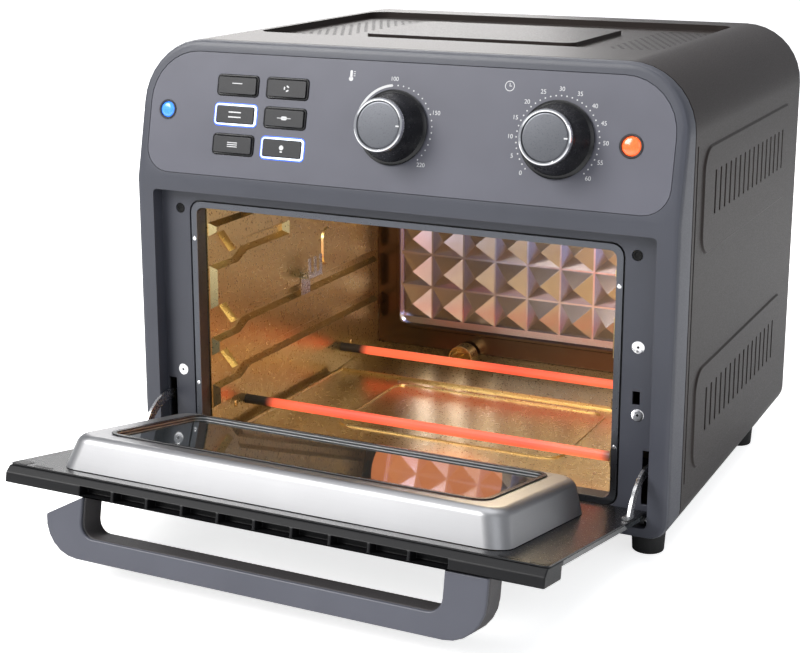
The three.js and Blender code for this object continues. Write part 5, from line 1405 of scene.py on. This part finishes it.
@dataclass(frozen=True)
class ClipSize:
    """Black corner clips on the flange, in millimetres up from the door's outer face."""

    foot: float = 5.3
    block_proud: float = 0.25
    strip_proud: float = 0.22
    block: Triple = (5.5, 4.5, 1.6)
    strip: Triple = (7.0, 1.5, 1.2)
    block_x: float = 177.5
    block_v: float = 176.0
    strip_x: float = 160.0
    strip_v: float = 178.5


class Door:
    """Drop-down door: flange, pan, glasses, top bar, handle and arms."""

    def __init__(self, clip: ClipSize = ClipSize()) -> None:
        """Keeps the sizes."""
        self.clip = clip

    def build(self) -> None:
        """Refines the door's nodes."""
        for node, key, edge in (
                ("door_flange", "gloss", SHEET_EDGE), ("door_pan", "pan", SOFT),
                ("door_inner_glass", "glass", FINE), ("door_window_frame", "gloss", PANEL_EDGE),
                ("door_outer_glass", "glass", FINE), ("door_top_bar", "bar", SOFT),
                ("door_handle_body", "grip", GRIP_EDGE), ("door_handle_cover", "cover", SOFT),
                ("hinge_arm_left", "steel", FINE), ("hinge_arm_right", "steel", FINE)):
            refine(node, key, Body.DOOR.value, edge)

    def dress(self) -> None:
        """Adds the black corner clips of the flange."""
        clip = self.clip
        clips = Sculptor()
        for side in (-1, 1):
            for outline, proud, x, v in ((clip.block, clip.block_proud, clip.block_x, clip.block_v),
                                         (clip.strip, clip.strip_proud, clip.strip_x, clip.strip_v)):
                clips.sheet(rounded(*outline), clip.foot, clip.foot + proud, door_matrix(side * x, v, 0.0))
        clips.publish("flange_corner_clips", ("bar",), Body.DOOR.value)


@dataclass(frozen=True)
class CameraSize:
    """The photograph's viewpoint, fitted to its corners."""

    place: Triple = (0.470075, -1.011932, 0.435052)
    pitch: float = 13.5135
    yaw: float = 25.9488
    focal_pixels: float = 1622.0
    picture_width: float = 800.0
    sensor: float = 36.0
    shift_y: float = -0.08


@dataclass(frozen=True)
class SoftBox:
    """One square area lamp, in metres and watts."""

    name: str
    spot: Triple
    aim: Triple
    size: float
    power: float
    color: Triple


@dataclass(frozen=True)
class Glow:
    """One small point lamp in the chamber's mouth, in metres and watts."""

    name: str
    spot: Triple
    power: float
    color: Triple
    radius: float


SOFT_BOXES = (
    SoftBox("key", (-1.5, -1.9, 2.0), (0, 0, 0.15), 1.6, 96.0, (1.0, 0.99, 0.97)),
    SoftBox("fill", (1.9, -1.4, 1.2), (0, 0, 0.15), 1.6, 8.0, (0.96, 0.98, 1.0)),
    SoftBox("back", (-1.2, 1.9, 1.0), (0, 0, 0.30), 1.2, 16.0, (1.0, 0.98, 0.96)),
    SoftBox("mouth", (0.10, -0.035, 0.185), (0.02, 0.2, 0.10), 0.10, 0.34, (0.90, 0.94, 1.0)),
    SoftBox("top", (0.1, 0.4, 2.4), (0, 0, 0.1), 2.2, 30.0, (1.0, 1.0, 1.0)),
)
GLOWS = (
    Glow("oven_glow", (0.05, 0.06, 0.178), 0.62, (1.0, 0.84, 0.58), 0.045),
    Glow("heat_glow", (0.0, 0.03, 0.075), 0.10, (1.0, 0.30, 0.10), 0.05),
)


@dataclass(frozen=True)
class StudioSize:
    """Floor and surround of the studio."""

    floor_half: float = 6.0
    floor_grey: float = 0.92
    floor_roughness: float = 0.9
    floor_specular: float = 0.1
    floor_glow: float = 0.75
    sky_color: Triple = (0.92, 0.95, 1.0)
    sky_strength: float = 0.46


class Studio:
    """Floor, surround, lamps and camera."""

    def __init__(self, size: StudioSize = StudioSize()) -> None:
        """Keeps the sizes."""
        self.size = size

    def build(self, view: CameraSize = CameraSize()) -> None:
        """Makes the floor, the world, the lamps and the camera.

        Args:
            view: The camera's place and lens.
        """
        self.floor()
        self.world()
        self.lamps()
        camera = bpy.data.cameras.new("photo_camera")
        camera.sensor_width = view.sensor
        camera.lens = view.focal_pixels / view.picture_width * view.sensor
        camera.shift_y = view.shift_y
        holder = bpy.data.objects.new("photo_camera", camera)
        bpy.context.scene.collection.objects.link(holder)
        holder.location = view.place
        holder.rotation_euler = (math.radians(90 - view.pitch), 0, math.radians(view.yaw))
        bpy.context.scene.camera = holder
        bpy.context.scene.view_settings.view_transform = "Standard"

    def floor(self) -> None:
        """Makes a plain pale floor that stays white to the camera but for soft shade."""
        size = self.size
        half = size.floor_half
        corners = [(-half, -half, 0), (half, -half, 0), (half, half, 0), (-half, half, 0)]
        mesh = bpy.data.meshes.new("floor")
        mesh.from_pydata(corners, [], [(0, 1, 2, 3)])
        floor = bpy.data.objects.new("floor", mesh)
        bpy.context.scene.collection.objects.link(floor)
        nodes = Nodes("floor_white")
        grey = size.floor_grey
        nodes.shader.inputs["Base Color"].default_value = (grey, grey, grey, 1.0)
        nodes.shader.inputs["Roughness"].default_value = size.floor_roughness
        nodes.shader.inputs["Specular IOR Level"].default_value = size.floor_specular
        path = nodes.add("ShaderNodeLightPath")
        nodes.shader.inputs["Emission Color"].default_value = (1.0, 1.0, 1.0, 1.0)
        nodes.link(nodes.maths("MULTIPLY", path.outputs["Is Camera Ray"], size.floor_glow),
                   nodes.shader.inputs["Emission Strength"])
        mesh.materials.append(nodes.material)

    def world(self) -> None:
        """Makes a soft surround that the camera sees as white."""
        world = bpy.data.worlds.new("studio")
        bpy.context.scene.world = world
        world.use_nodes = True
        tree = world.node_tree
        tree.nodes.clear()
        output = tree.nodes.new("ShaderNodeOutputWorld")
        soft = tree.nodes.new("ShaderNodeBackground")
        soft.inputs["Color"].default_value = (*self.size.sky_color, 1.0)
        soft.inputs["Strength"].default_value = self.size.sky_strength
        white = tree.nodes.new("ShaderNodeBackground")
        white.inputs["Strength"].default_value = 1.0
        path = tree.nodes.new("ShaderNodeLightPath")
        mix = tree.nodes.new("ShaderNodeMixShader")
        tree.links.new(path.outputs["Is Camera Ray"], mix.inputs[0])
        tree.links.new(soft.outputs[0], mix.inputs[1])
        tree.links.new(white.outputs[0], mix.inputs[2])
        tree.links.new(mix.outputs[0], output.inputs[0])

    @staticmethod
    def lamps() -> None:
        """Makes the soft boxes and the warm light inside the chamber."""
        for box in SOFT_BOXES:
            lamp = bpy.data.lights.new(box.name, "AREA")
            lamp.size = box.size
            lamp.energy = box.power
            lamp.color = box.color
            holder = bpy.data.objects.new(box.name, lamp)
            holder.location = box.spot
            way = Vector(box.aim) - Vector(box.spot)
            holder.rotation_euler = way.to_track_quat("-Z", "Y").to_euler()
            bpy.context.scene.collection.objects.link(holder)
        for glow in GLOWS:
            lamp = bpy.data.lights.new(glow.name, "POINT")
            lamp.energy = glow.power
            lamp.color = glow.color
            lamp.shadow_soft_size = glow.radius
            holder = bpy.data.objects.new(glow.name, lamp)
            holder.location = glow.spot
            bpy.context.scene.collection.objects.link(holder)


def main() -> None:
    """Builds and dresses the oven and the studio."""
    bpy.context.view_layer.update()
    Studio().build()
    parts = (Shell(), Bezel(), Controls(), Cavity(), Door())
    for part in parts:
        part.build()
    for part in parts:
        part.dress()


if __name__ == "__main__":
    main()
